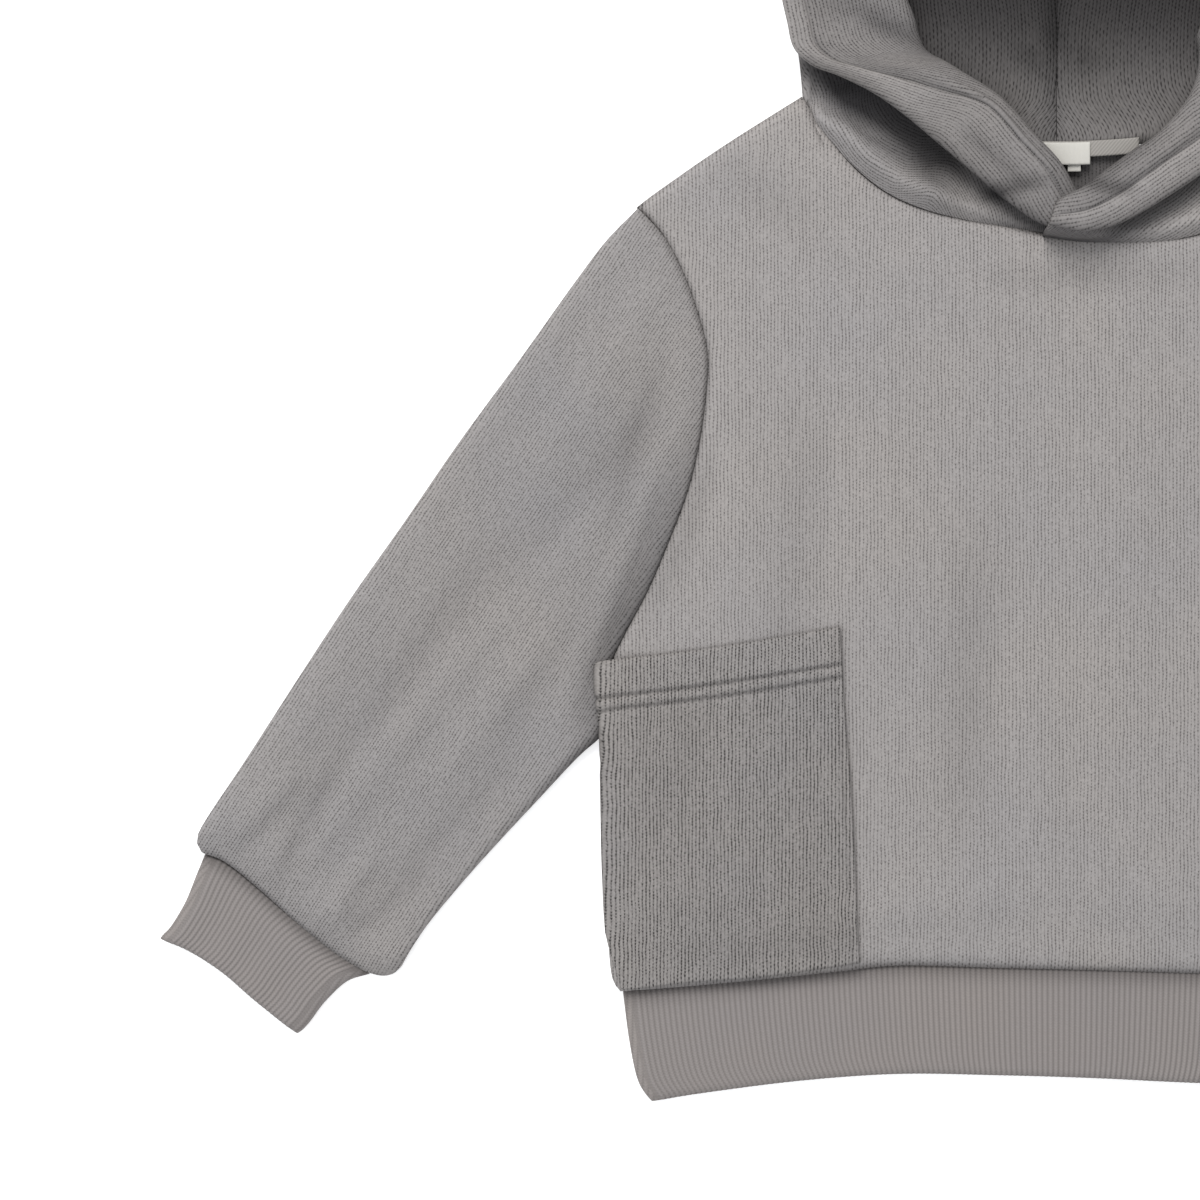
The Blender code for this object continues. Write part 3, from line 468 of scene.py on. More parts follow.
SLEEVE_CREASES = [(-196.0, 30.0, 60.0, 52.0, 9.0, -1.6), (-214.0, 4.0, 52.0, 50.0, 8.0, 1.4),
                  (-204.0, -30.0, 44.0, 62.0, 7.0, -0.8), (-226.0, -44.0, 40.0, 54.0, 8.0, 1.4),
                  (-256.0, -26.0, 60.0, 56.0, 9.0, -1.3), (-182.0, 90.0, 50.0, 58.0, 9.0, 1.3),
                  (-168.0, 60.0, 40.0, 74.0, 6.0, -1.4), (-276.0, -70.0, 46.0, 50.0, 8.0, 1.4),
                  (-300.0, -92.0, 26.0, 62.0, 5.0, -1.9), (-284.0, -116.0, 20.0, 58.0, 5.0, 1.6),
                  (-318.0, -84.0, 22.0, 48.0, 5.0, 1.6), (-266.0, -122.0, 22.0, 40.0, 5.0, -1.0),
                  (-240.0, -90.0, 36.0, 44.0, 6.0, -0.8), (-302.0, -52.0, 40.0, 60.0, 7.0, 1.0),
                  (-167.0, 10.0, 60.0, 69.0, 6.5, -2.4)]


# the knit's wales run down the sleeve
DOWN_SLEEVE = np.array([-0.565, -0.825])
ACROSS_SLEEVE = np.array([0.825, -0.565])


def across_fractions(count, width, edge=7.0):
    """Fractions across a flattened tube, closer together on its two rounded edges."""
    near = edge / width
    return np.concatenate([near * (1 - np.cos(np.linspace(0, math.pi / 2, 9)))[:-1],
                           np.linspace(near, 1 - near, count),
                           (1 - near * (1 - np.cos(np.linspace(0, math.pi / 2, 9)))[:-1])[::-1]])


def tube_points(flat, across, under, height, thickness):
    """Middle points of a flattened tube and their grain in millimetres.

    The upper layer lies at height(point, v, s), the lower on the table; across and under are the
    fractions across the tube where each has its points.
    """
    columns, rows = flat.shape[:2]
    length = np.concatenate([[0], np.cumsum(np.linalg.norm(np.diff(flat[columns // 2], axis=0), axis=1))])
    points, grain = [], []
    for s, layer in [(s, 1) for s in across] + [(s, -1) for s in under]:
        ring = np.empty((rows, 3))
        uv = np.empty((rows, 2))
        for j in range(rows):
            line = flat[:, j, :]
            width = float(np.sum(np.linalg.norm(np.diff(line, axis=0), axis=1)))
            v = j / (rows - 1)
            inset = (thickness / 2 + 0.03) / width
            k = (inset + s * (1 - 2 * inset)) * (columns - 1)
            i = min(int(k), columns - 2)
            p = line[i] + (line[i + 1] - line[i]) * (k - i)
            half = (height(p, v, s) - thickness / 2) / 2
            curl = float(rise(min(s, 1 - s) * width, min(half * 1.7, width * 0.3)))
            z = thickness / 2 + half * (1 + curl * layer)
            ring[j] = (p[0], p[1], z)
            uv[j] = ((s - 0.5) * width * (1 if layer > 0 else -1) + (0 if layer > 0 else 400.0), length[j])
        points.append(ring)
        grain.append(uv)
    return np.array(points), np.array(grain)


def sleeve_height(p, v, s):
    """How high the sleeve's upper layer stands: low at the armhole, puffed just above the cuff."""
    puff = 2.0 * math.exp(-((v - 0.945) / 0.04) ** 2) * (0.8 + 0.35 * math.sin(21.0 * s + 1.0))
    body = 8.2 + 1.2 * math.sin(3.0 * v + 2.0 * s) + puff
    if v > 0.975:
        body -= 2.2 * (v - 0.975) / 0.025
    blend = min(v / 0.05, 1.0)
    seam = EDGE_Z + 2.6
    fade = min(v / 0.08, 1.0) * min((1 - v) / 0.06, 1.0)
    crease = float(creased(np.array([p]), SLEEVE_CREASES)[0])
    return seam + (body - seam) * (1 - (1 - blend) ** 2) + 1.35 * fade * crease


# the body's knit drawn finer and in darker colours: the darkening is painted shade
SLEEVE_KNIT = knit_material("sleeve_knit", (0.11, 0.104, 0.102), (0.340, 0.323, 0.318),
                            knit_group("fine_knit", 1.2, 1.1, 0.3), painted_shade=True)
rows = 96
flat = fill_sides(shifted(curve(ARMHOLE, 61), 0.9)[::-1], curve(CUFF_SEAM, 61),
                  curve(SLEEVE_TOP, rows), curve(SLEEVE_UNDER, rows))
across = across_fractions(64, 150.0)
under = np.linspace(0.985, 0.015, 16)
middle, _ = tube_points(flat, across, under, sleeve_height, CLOTH)
over = np.clip((np.linspace(0, 1, rows) - 0.965) / 0.035, 0, 1) ** 2      # the end that laps over the cuff
way = np.gradient(middle[:len(across), :, :2], axis=1)
way /= np.linalg.norm(way, axis=2)[:, :, None]
lap = 2.0 * over[None, :, None] * np.sin(math.pi * across)[:, None, None] ** 0.3
middle[:len(across), :, :2] += way * lap
grain = np.stack([middle[:, :, :2] @ ACROSS_SLEEVE, middle[:, :, :2] @ DOWN_SLEEVE], axis=-1)
spots = middle.reshape(-1, 3)
# painted shade in the creases, where the sleeve tucks under the lower armhole, and along the underarm's edge
tucked = np.exp(-(distance(spots[:, :2], curve(ARMHOLE, 60)) / 9.0) ** 2)
tucked *= np.clip((75.0 - spots[:, 1]) / 80.0, 0, 1)
on_top = spots[:, 2] > 4.0
painted_shade_mask = (0.08 * np.clip(-creased(spots[:, :2], SLEEVE_CREASES), 0, 3) + 0.42 * tucked) * on_top
underarm = np.exp(-(distance(spots[:, :2], curve(SLEEVE_UNDER, 60)) / 2.6) ** 2)
painted_shade_mask += 0.45 * underarm * np.exp(-(np.hypot(spots[:, 0] + 190.0, spots[:, 1] + 62.0) / 26.0) ** 2)
for side, name in ((1, "sleeve_right"), (-1, "sleeve_left")):
    sleeve = cloth(name + "_knit", middle * np.array([side, 1, 1]),
                   grid_quads(*middle.shape[:2], closed=True), CLOTH, grain * np.array([side, 1]),
                   outward=-side, painted_shade=painted_shade_mask)
    sleeve.data.materials.append(SLEEVE_KNIT)
    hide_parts(name)

# ---------------------------------------------------------------------------------------------------
# Cuffs: doubled rib knit tubes sewn to the sleeve ends, a little narrower than the gathered sleeve.
# Real ribs run along the arm.
# ---------------------------------------------------------------------------------------------------
RIB_CLOTH = 1.6
RIB_PITCH = 2.08
CUFF_EDGE = [(-341.0, -101.6), (-333.0, -104.8), (-319.6, -115.0), (-304.2, -128.9), (-289.0, -140.8),
             (-279.5, -146.6), (-274.6, -149.4)]
CUFF_TOP = [(-341.0, -101.6), (-344.5, -110.0), (-349.0, -121.0), (-355.0, -131.0), (-359.5, -135.4)]
CUFF_UNDER = [(-274.6, -149.4), (-284.0, -152.6), (-293.0, -161.0), (-299.0, -169.0), (-303.5, -173.8)]
CUFF_END = [(-359.5, -135.4), (-349.0, -139.4), (-335.0, -148.0), (-319.0, -161.6), (-303.5, -173.8)]


def rib_group():
    """Fine stitches on a rib whose grain is in millimetres; furrows between ribs are darker."""
    group = bpy.data.node_groups.new("rib", "ShaderNodeTree")
    group.interface.new_socket("Grain", in_out="INPUT", socket_type="NodeSocketVector")
    group.interface.new_socket("Height", in_out="OUTPUT", socket_type="NodeSocketFloat")
    group.interface.new_socket("Shade", in_out="OUTPUT", socket_type="NodeSocketFloat")
    nodes, links = group.nodes, group.links
    start, end = nodes.new("NodeGroupInput"), nodes.new("NodeGroupOutput")

    math_node = arithmetic(group)
    fine = nodes.new("ShaderNodeTexNoise")
    fine.inputs["Scale"].default_value = 0.9
    fine.inputs["Detail"].default_value = 4.0
    links.new(start.outputs["Grain"], fine.inputs["Vector"])
    split = nodes.new("ShaderNodeSeparateXYZ")
    links.new(start.outputs["Grain"], split.inputs[0])
    across = math_node("MULTIPLY", math_node("MULTIPLY_ADD", fine.outputs["Fac"], 0.3, split.outputs["X"]),
                       1 / RIB_PITCH)
    off = math_node("ABSOLUTE", math_node("SUBTRACT", math_node("FRACT", across), 0.5))
    column = math_node("SUBTRACT", 1.0, math_node("MULTIPLY", math_node("MULTIPLY", off, off), 3.8))
    stitch = math_node("MULTIPLY_ADD", split.outputs["Y"], 1 / 1.1, math_node("MULTIPLY", off, 1.4))
    stitch = math_node("SINE", math_node("MULTIPLY", stitch, 2 * math.pi))
    stitch = math_node("MULTIPLY_ADD", stitch, 0.5, 0.5)
    height = math_node("MULTIPLY_ADD", column, 0.7, math_node("MULTIPLY", stitch, 0.3))
    links.new(height, end.inputs["Height"])
    links.new(math_node("MULTIPLY", height, math_node("MULTIPLY_ADD", fine.outputs["Fac"], 0.6, 0.7)),
              end.inputs["Shade"])
    return group


RIB_KNIT = knit_material("rib_knit", (0.20, 0.183, 0.175), (0.308, 0.281, 0.27), rib_group(),
                         depth=0.0004, strength=0.4, painted_shade=True)


def rib_tube(name, seam_line, end_line, edge_a, edge_b, rows, side, tall):
    """A rib band pressed flat: every rib a rounded ridge, the open end rolled a little down at its rim."""
    count = 61
    flat = fill_sides(curve(seam_line, count), curve(end_line, count),
                      curve(edge_a, rows), curve(edge_b, rows))
    wide = float(np.linalg.norm(flat[-1, -1] - flat[0, -1]))
    ribs = int(round((wide - 8.0) / RIB_PITCH))
    body = np.linspace(4.0 / wide, 1 - 4.0 / wide, 6 * ribs + 1)
    across = np.concatenate([[0.0, 0.3 / wide, 1.2 / wide, 2.6 / wide], body,
                             [1 - 2.6 / wide, 1 - 1.2 / wide, 1 - 0.3 / wide, 1.0]])
    under = np.linspace(0.99, 0.01, 60)

    def height(p, v, s):
        roll = 0.7 * max(0.0, (v - 0.94) / 0.06) ** 2
        wave = 0.35 * math.sin(9.0 * s + 2.0) * (1 - v) + 0.3 * math.sin(23.0 * s) * v
        pinch = 0.9 * max(0.0, 1 - v / 0.12) ** 2
        return tall[0] + (tall[1] - tall[0]) * v + wave - roll - pinch

    points, grain = tube_points(flat, across, under, height, RIB_CLOTH)
    phase = np.concatenate([np.zeros(4), np.arange(6 * ribs + 1) / 6.0, np.zeros(4)])
    ridge = 0.34 * (0.5 - 0.5 * np.cos(2 * math.pi * phase))
    grain[4:-4 - len(under), :, 0] = (np.arange(6 * ribs + 1) / 6.0 * RIB_PITCH)[:, None]
    raised = np.zeros(points.shape[:2])
    raised[:len(across)] = ridge[:, None]
    raised[:, -1] *= 0.6
    thin = np.ones(points.shape[:2])
    thin[:, -1] = 0.45
    thin[:, -2] = 0.8
    # painted shade on the band's upper face just below the seam, where the sleeve or body puffs over it
    from_seam = np.linspace(0, 40.0, points.shape[1])
    painted_shade_mask = np.zeros(points.shape[:2])
    painted_shade_mask[:len(across)] = 0.48 * np.exp(-(from_seam / 4.5) ** 2)
    piece = cloth(name, points * np.array([side, 1, 1]), grid_quads(*points.shape[:2], closed=True),
                  RIB_CLOTH, grain, outward=-side, raised=raised.ravel(), thin=thin.ravel(),
                  painted_shade=painted_shade_mask.ravel())
    piece.data.materials.append(RIB_KNIT)
    return piece


for side, name in ((1, "cuff_right"), (-1, "cuff_left")):
    cuff = rib_tube(name + "_rib", CUFF_EDGE, CUFF_END, CUFF_TOP, CUFF_UNDER, 34, side, (5.6, 6.2))
    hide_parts(name)

# ---------------------------------------------------------------------------------------------------
# Hem band: one doubled rib tube round the bottom of the body, drawn in narrower than the panels.
# ---------------------------------------------------------------------------------------------------
HEM_END = [(-162.8, -200.6), (-142.8, -197.2), (-102.8, -192.2), (-62.8, -189.4), (-22.8, -190.0),
           (17.0, -191.2), (50.0, -192.8), (102.8, -195.0), (142.8, -198.0), (162.8, -200.6)]
HEM_SIDE = [(-171.4, -176.0), (-168.0, -192.0), (-162.8, -200.6)]

hem_edge = shifted(curve(HEM_SEAM, 61), -SEAM)
hem = rib_tube("hem_rib", hem_edge, HEM_END, [hem_edge[0]] + HEM_SIDE,
               [hem_edge[-1]] + [(-x, y) for x, y in HEM_SIDE], 34, 1, (5.2, 5.7))
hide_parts("hem_band")

# ---------------------------------------------------------------------------------------------------
# Patch pockets: sweatshirt knit laid on the front, caught in the side and hem seams and stitched down
# the inner edge. The mouth is turned under and stitched twice, with a small tuck raised between.
# ---------------------------------------------------------------------------------------------------
POCKET_MOUTH = [(-183.2, -24.6), (-176.0, -23.4), (-150.0, -20.5), (-119.0, -16.0), (-87.0, -10.6)]
POCKET_INNER = [(-79.5, -143.6), (-81.0, -108.0), (-83.0, -72.0), (-85.6, -40.0), (-87.0, -10.6)]
POCKET_BOTTOM = [(-173.4, -154.9), (-150.0, -151.8), (-118.8, -148.9), (-79.5, -143.6)]
POCKET_OUTER = [(-173.4, -154.9), (-178.0, -136.0), (-179.8, -108.0), (-180.6, -72.0), (-181.4, -54.0),
                (-182.8, -38.0), (-183.2, -24.6)]
POCKET_STITCHES = (15.1, 20.3)
POCKET_ROWS = [(0.0, 0.0), (0.5, 0.9), (1.2, 1.3), (4.0, 1.5), (10.0, 1.45), (13.4, 1.35), (14.4, 0.9),
               (15.1, 0.05), (15.8, 0.75), (16.8, 1.25), (18.4, 1.3), (19.6, 0.9), (20.3, 0.0), (21.0, 0.35),
               (23.0, 0.5), (60.0, 0.6), (118.0, 0.5), (128.0, 0.4), (135.0, 0.1)]
POCKET_DEEP = POCKET_ROWS[-1][0]
POCKET_WIDE = 95.0
POCKET_CLOTH = 1.8
POCKET_CREASES = [(-150.0, -60.0, 34.0, 74.0, 10.0, -0.5), (-120.0, -78.0, 44.0, 92.0, 14.0, 0.6),
                  (-100.0, -110.0, 36.0, 104.0, 9.0, -0.4), (-150.0, -120.0, 40.0, 12.0, 9.0, 0.5),
                  (-120.0, -138.0, 40.0, 6.0, 6.0, -0.5), (-118.0, -30.0, 36.0, 10.0, 5.0, 0.3)]

# the body's knit in darker colours, the darkening painted shade, with darker lines and deeper relief
POCKET_KNIT = knit_material("pocket_knit", (0.05, 0.047, 0.045), (0.338, 0.318, 0.307),
                            knit_group("pocket_knit", 1.42, 1.25, 0.62), depth=0.0006,
                            strength=0.7, painted_shade=True)
columns, rows = 141, 170
flat = fill_sides(curve(POCKET_BOTTOM, columns), curve(POCKET_MOUTH, columns),
                  curve(POCKET_OUTER, rows), curve(POCKET_INNER, rows))
plane = flat.reshape(-1, 2)
depth = np.tile((1 - np.linspace(0, 1, rows)) * POCKET_DEEP, (columns, 1))       # below the mouth
raised = np.interp(depth, [d for d, _ in POCKET_ROWS], [r for _, r in POCKET_ROWS])
from_inner = columns - 1 - np.arange(columns)
in_from_side = np.minimum(np.arange(columns), from_inner)[:, None] / (columns - 1) * POCKET_WIDE
inner_side = from_inner[:, None] / (columns - 1) * POCKET_WIDE
stitch = np.exp(-((inner_side - 2.2) / 0.7) ** 2) * 0.8
raised = raised * (0.15 + 0.85 * rise(in_from_side, 1.4)) - stitch * (depth > 0.8)
x = plane[:, 0].reshape(columns, rows)
pucker = np.sin(x * 1.9 + 2.0 * np.sin(x * 0.21))
raised = raised + 0.34 * pucker * (np.exp(-((depth - 17.5) / 2.2) ** 2)
                                   + 0.5 * np.exp(-((depth - 13.6) / 1.5) ** 2))
# painted shade along the two rows of stitches, and a touch of it below them, where the cloth is single
stitched = sum(0.5 * np.exp(-((depth - 0.25 * pucker - row) / 0.8) ** 2) for row in POCKET_STITCHES).ravel()
stitched = stitched - 0.035 + 0.075 * np.clip((depth.ravel() - 20.0) / 4.0, 0, 1)


def pocket_base(points):
    """The surface that a pocket lies on: the front, and by its upper corner the sleeve over the armhole."""
    inner = points * np.array([0.962, 1.0])
    x, y = np.abs(points[:, 0]), points[:, 1]
    over = np.clip((x - 158.0) / 12.0, 0, 1) * np.clip((y + 74.0) / 26.0, 0, 1)
    over = over * over * (3 - 2 * over)
    ground = front_height(points)
    edge = rise(distance(np.column_stack([-x, y]), curve(POCKET_OUTER, 60)), 5.0)
    return ground + (np.maximum(front_height(inner), 8.4) - 1.6 * (1 - edge) - ground) * over


for side, name in ((1, "pocket_right"), (-1, "pocket_left")):
    places = plane * np.array([side, 1])
    step = 0.6
    height = pocket_base(places)
    slope = [(pocket_base(places + np.array(way)) - pocket_base(places - np.array(way))) / (2 * step)
             for way in ((step, 0.0), (0.0, step))]
    normal = np.column_stack([-slope[0], -slope[1], np.ones(len(plane))])
    normal /= np.linalg.norm(normal, axis=1)[:, None]
    middle = np.column_stack([places, height]) + normal * (CLOTH / 2 + 0.4 + POCKET_CLOTH / 2)
    middle[:, 1] -= 0.6 * np.clip(1 - (POCKET_DEEP - depth.ravel()) / 4.0, 0, 1) ** 2
    middle[:, 2] += np.maximum(creased(plane, POCKET_CREASES), -0.2) * rise(in_from_side, 12.0).repeat(
        rows, axis=1).ravel()
    # painted shade in the troughs of the creases, with that along the stitches
    pocket = cloth(name + "_patch", middle, grid_quads(columns, rows), POCKET_CLOTH,
                   plane * np.array([side, 1]), outward=side, raised=raised.ravel(),
                   painted_shade=0.14 * np.clip(-creased(plane, POCKET_CREASES), 0, 3) + stitched)
    pocket.data.materials.append(POCKET_KNIT)
    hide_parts(name)

# ---------------------------------------------------------------------------------------------------
# Hood: outer cloth and lining, each cut as two halves joined down the middle of the head. The face
# edge rolls over to the lining's seam and is folded back outwards; the lapels cross at the neck.
# ---------------------------------------------------------------------------------------------------
HOOD_CLOTH = 1.8
LAYER = 2.7
# one row for each station round half of the hood's face edge, from the front neck to the crown:
# edge, fold and base are where the folded-back edge, its fold and the neck seam or side fold lie,
# lift raises the folded layers, hump the roll beside the neck seam, loft the folded-back flap; rim is
# how far the outer cloth rolls over the face edge to the lining's seam
HOOD_COLUMNS = ("edge_x", "edge_y", "fold_x", "fold_y", "base_x", "base_y", "centre_y", "lift", "base_lift",
                "hump", "loft", "rim")
HOOD_FRONT_RIGHT = [
    (8.4, 145.8, 12.8, 157.2, 9.0, 144.9, 0, -2.0, -2.2, 0.0, 0.0, 30.0),
    (-7.0, 150.0, 8.4, 162.8, -5.0, 146.2, 0, -1.8, -2.4, 0.0, 0.0, 30.0),
    (-21.6, 159.2, 1.2, 174.0, -21.0, 149.6, 0, 1.6, 0.0, 1.0, 1.0, 30.0),
    (-37.0, 172.0, -9.0, 184.8, -37.0, 152.4, 0, 2.2, 0.0, 3.0, 2.0, 30.0),
    (-51.0, 183.6, -23.0, 200.0, -53.0, 156.4, 0, 2.4, 0.0, 4.8, 3.0, 26.0),
    (-63.0, 193.6, -37.0, 209.0, -67.6, 162.8, 0, 2.4, 0.0, 5.8, 3.4, 17.0),
    (-75.6, 202.4, -45.0, 213.6, -79.6, 172.0, 0, 2.4, 0.0, 6.2, 3.4, 13.0),
    (-89.0, 209.0, -50.0, 216.0, -90.0, 183.0, 0, 2.2, -0.6, 5.4, 3.2, 10.5),
    (-99.6, 213.6, -52.6, 218.4, -98.0, 192.5, 0, 1.4, -1.6, 3.4, 3.0, 9.2),
]
HOOD_FRONT_LEFT = [
    (5.4, 148.4, 1.0, 158.6, 5.4, 147.6, 0, 10.5, 11.1, 0.0, 0.0, 5.0),
    (-8.4, 145.8, -8.4, 163.8, -7.0, 145.6, 0, 10.5, 11.1, 0.0, 0.3, 8.0),
    (-21.0, 148.4, -19.6, 172.0, -21.0, 144.6, 0, 6.4, 3.6, 0.4, 1.6, 10.5),
    (-33.5, 154.6, -30.0, 179.6, -37.0, 144.0, 0, 4.2, 1.0, 1.8, 2.4, 12.0),
    (-45.5, 162.0, -39.4, 186.0, -53.0, 145.6, 0, 3.2, 0.0, 3.8, 3.0, 12.5),
    (-58.0, 170.4, -47.0, 194.2, -67.6, 150.4, 0, 2.8, 0.0, 5.4, 3.2, 12.0),
    (-72.0, 181.0, -52.8, 203.4, -79.6, 159.6, 0, 2.6, 0.0, 6.2, 3.2, 11.0),
    (-86.0, 194.0, -55.0, 211.4, -90.0, 174.5, 0, 2.2, -0.6, 5.6, 3.2, 10.0),
    (-98.0, 206.5, -55.6, 218.0, -98.0, 189.0, 0, 1.4, -1.6, 3.4, 3.0, 9.0),
]
HOOD_UPPER = [
    (-105.6, 219.4, -55.0, 223.4, -101.0, 196.5, 180.6, 1.0, -3.0, 0.0, 3.0, 8.6),
    (-108.6, 230.0, -57.4, 230.6, -103.2, 217.0, 202.0, 3.0, -3.0, 0.0, 3.0, 8.6),
    (-111.0, 240.0, -61.0, 240.0, -106.6, 234.0, 226.0, 5.0, -3.0, 0.0, 3.0, 8.6),
    (-114.2, 258.0, -64.0, 258.0, -109.8, 257.0, 252.0, 7.5, -3.0, 0.0, 2.6, 8.6),
    (-116.8, 284.0, -65.6, 286.0, -112.2, 284.0, 284.0, 9.0, -3.0, 0.0, 2.4, 8.6),
    (-115.6, 312.0, -62.0, 314.0, -111.2, 311.6, 316.0, 9.0, -3.0, 0.0, 2.2, 8.6),
    (-107.6, 340.0, -53.4, 338.0, -103.4, 338.6, 346.0, 8.0, -3.0, 0.0, 2.2, 8.6),
    (-91.0, 367.0, -40.0, 356.6, -87.6, 364.0, 370.0, 6.5, -3.0, 0.0, 2.2, 8.6),
    (-66.0, 390.0, -25.4, 368.0, -63.8, 386.4, 387.0, 5.0, -3.0, 0.0, 2.2, 8.6),
    (-35.0, 405.6, -12.0, 374.4, -34.0, 401.6, 396.6, 4.0, -3.0, 0.0, 2.2, 8.6),
    (-0.4, 411.6, -0.4, 376.6, -0.4, 407.4, 401.4, 4.0, -3.0, 0.0, 2.2, 8.6),
]

FLAT_OUTER = HOOD_CLOTH / 2                 # the outer cloth where the hood lies on the surface
FLAT_LINING = FLAT_OUTER + LAYER
UNDER_LINING = FLAT_LINING + 2.9            # the layer folded back over it
UNDER_OUTER = UNDER_LINING + LAYER
FLAP_OUTER = UNDER_OUTER + 2.9              # the front edge folded outwards again
FLAP_LINING = FLAP_OUTER + LAYER
FOLD_Z = (UNDER_LINING + FLAP_LINING) / 2
SIDE_Z = (FLAT_OUTER + UNDER_OUTER) / 2


def toward(a, b, distance):
    step = b - a
    return a + step * (distance / max(np.linalg.norm(step), 1e-6))


def hood_section(row, upper, tight=1.0):
    """The middle lines of the outer cloth and of the lining at one station, as lists of points."""
    at = dict(zip(HOOD_COLUMNS, row))
    edge, fold, base = (np.array([at[k + "_x"], at[k + "_y"]], float) for k in ("edge", "fold", "base"))
    lift, loft, hump = at["lift"], at["loft"], at["hump"]
    width = float(np.linalg.norm(fold - edge))
    outer_r, lining_r = (FLAP_OUTER - UNDER_OUTER) / 2, (FLAP_LINING - UNDER_LINING) / 2
    centre = width - HOOD_CLOTH / 2 - lining_r
    rim = min(at["rim"], max(centre - 1.6, width * 0.3))
    bottom, top = FLAP_OUTER + lift, FLAP_LINING + lift
    crest = top + 0.5 + 0.6 * loft

    def flap(q, z):
        p = toward(edge, fold, q) if width > 0 else edge
        return (p[0], p[1], z)

    low_edge = bottom + 0.35
    half = (crest - low_edge) / 2
    outer = [flap(rim, crest - 1.7), flap(rim - 0.7, crest - 1.0), flap(rim - 2.0, crest - 0.15),
             flap(rim * 0.5, crest), flap(rim * 0.3, crest - 0.14 * half)]
    for turn in (55, 90, 125):
        a = math.radians(turn)
        outer.append(flap(HOOD_CLOTH / 2 + min(half, rim * 0.42) * (1 - math.sin(a)),
                          low_edge + half + half * math.cos(a)))
    outer += [flap(min(rim * 0.5, centre * 0.5), low_edge - 0.1), flap(centre * 0.66, bottom + 0.1)]
    left = centre - rim
    lining = [flap(rim + min(0.25, 0.06 * left), crest - 1.9), flap(rim + min(1.0, 0.14 * left), crest - 1.2),
              flap(rim + min(2.2, 0.24 * left), crest - 0.5), flap(rim + 0.40 * left, top + loft * 0.9),
              flap(rim + 0.66 * left, top + loft)]
    inward = (fold - base) / max(float(np.linalg.norm(fold - base)), 1e-6)
    along = (fold - edge) / max(width, 1e-6)
    middle = toward(edge, fold, centre)
    fold_z = FOLD_Z + lift
    for turn in (0, 45, 90, 135, 180):
        a = math.radians(turn)
        way = along * (1 - turn / 180) + inward * (turn / 180)
        way /= np.linalg.norm(way)
        extra = loft * 0.55 * max(math.cos(a), 0.0) ** 2
        for line, radius, puff in ((outer, outer_r, 0.0), (lining, lining_r, extra)):
            p = middle + way * radius * math.sin(a)
            line.append((p[0], p[1], fold_z + radius * math.cos(a) + puff))
    # the layer under the flap, from the fold out to the neck seam or the side fold
    reach = float(np.linalg.norm(base - middle))
    shown = float(np.dot(middle - edge, middle - base)) / max(reach ** 2, 1e-6)
    span = 1.0 - min(max(shown, 0.35), 0.84)      # the part that shows between the flap and the seam
    outside = HOOD_CLOTH / 2 + (UNDER_OUTER - FLAT_OUTER) / 2 * tight
    stop = (reach - outside) / reach if upper else 1.0 - 0.45 / reach
    start_z = (UNDER_OUTER + lift, UNDER_LINING + lift)
    end_z = FLAT_OUTER + (UNDER_OUTER - FLAT_OUTER) * tight if upper else 8.0 + at["base_lift"]
    for f in (0.16, 0.30, 0.42, 0.52, 0.60, 0.68, 0.75, 0.82, 0.88, 0.94, 0.98, 1.0):
        g = f * stop
        p = middle + (base - middle) * g
        blend = f * f * (3 - 2 * f)
        in_from_seam, clear = (1 - f) * reach, span * reach
        bump = hump * (math.exp(-((in_from_seam - min(5.5, 0.30 * clear)) / min(5.0, 0.27 * clear)) ** 2)
                       - 0.5 * math.exp(-((in_from_seam - clear + 3.0) / 8.0) ** 2))
        last = max(0.0, (f - 0.82) / 0.18)
        tuck = 0.0 if upper else 2.2 * last ** 3
        drop = 0.0 if upper else max(0.0, at["base_lift"])
        q = p + (base - middle) / reach * min(drop, 2.0) * 0.9 * math.sqrt(last)
        outer.append((q[0], q[1], start_z[0] + (end_z - start_z[0]) * blend + bump - tuck
                      - drop * 0.9 * last ** 2))
        lining.append((p[0], p[1], start_z[1] + (end_z - LAYER - start_z[1]) * blend + bump))
    return outer, lining


def side_fold(row, first, tight=1.0):
    """The rest of a station above the neck: round the side fold and across the surface to the centre seam."""
    at = dict(zip(HOOD_COLUMNS, row))
    edge, fold, base = (np.array([at[k + "_x"], at[k + "_y"]], float) for k in ("edge", "fold", "base"))
    rim_in = toward(edge, fold, float(np.linalg.norm(fold - edge)) - HOOD_CLOTH / 2
                    - (FLAP_LINING - UNDER_LINING) / 2)
    out = (base - rim_in) / np.linalg.norm(base - rim_in)
    outer_r = (UNDER_OUTER - FLAT_OUTER) / 2 * tight
    lining_r = (UNDER_LINING - FLAT_LINING) / 2 * tight
    turn_at = base - out * (HOOD_CLOTH / 2 + outer_r)
    goal = np.array([-0.15, at["centre_y"]])
    outer, lining = [], []
    for turn in (45, 90, 135, 180):
        a = math.radians(turn)
        way = out * (1 - turn / 360) - (goal - turn_at) / np.linalg.norm(goal - turn_at) * (turn / 360)
        way /= np.linalg.norm(way)
        for line, radius in ((outer, outer_r), (lining, lining_r)):
            p = turn_at + way * radius * math.sin(a)
            line.append((p[0], p[1], FLAT_OUTER + (SIDE_Z - FLAT_OUTER) * tight + radius * math.cos(a)))
    for f in (0.34, 0.68, 1.0):
        p = turn_at + (goal - turn_at) * f
        if first:
            neck = curve(NECK_BACK[:4], 30)
            k = np.interp(p[0], neck[:, 0], np.arange(30))
            p = np.array([p[0], np.interp(k, np.arange(30), neck[:, 1]) + SEAM])
        outer.append((p[0], p[1], FLAT_OUTER))
        lining.append((p[0], p[1], FLAT_LINING))
    return outer, lining
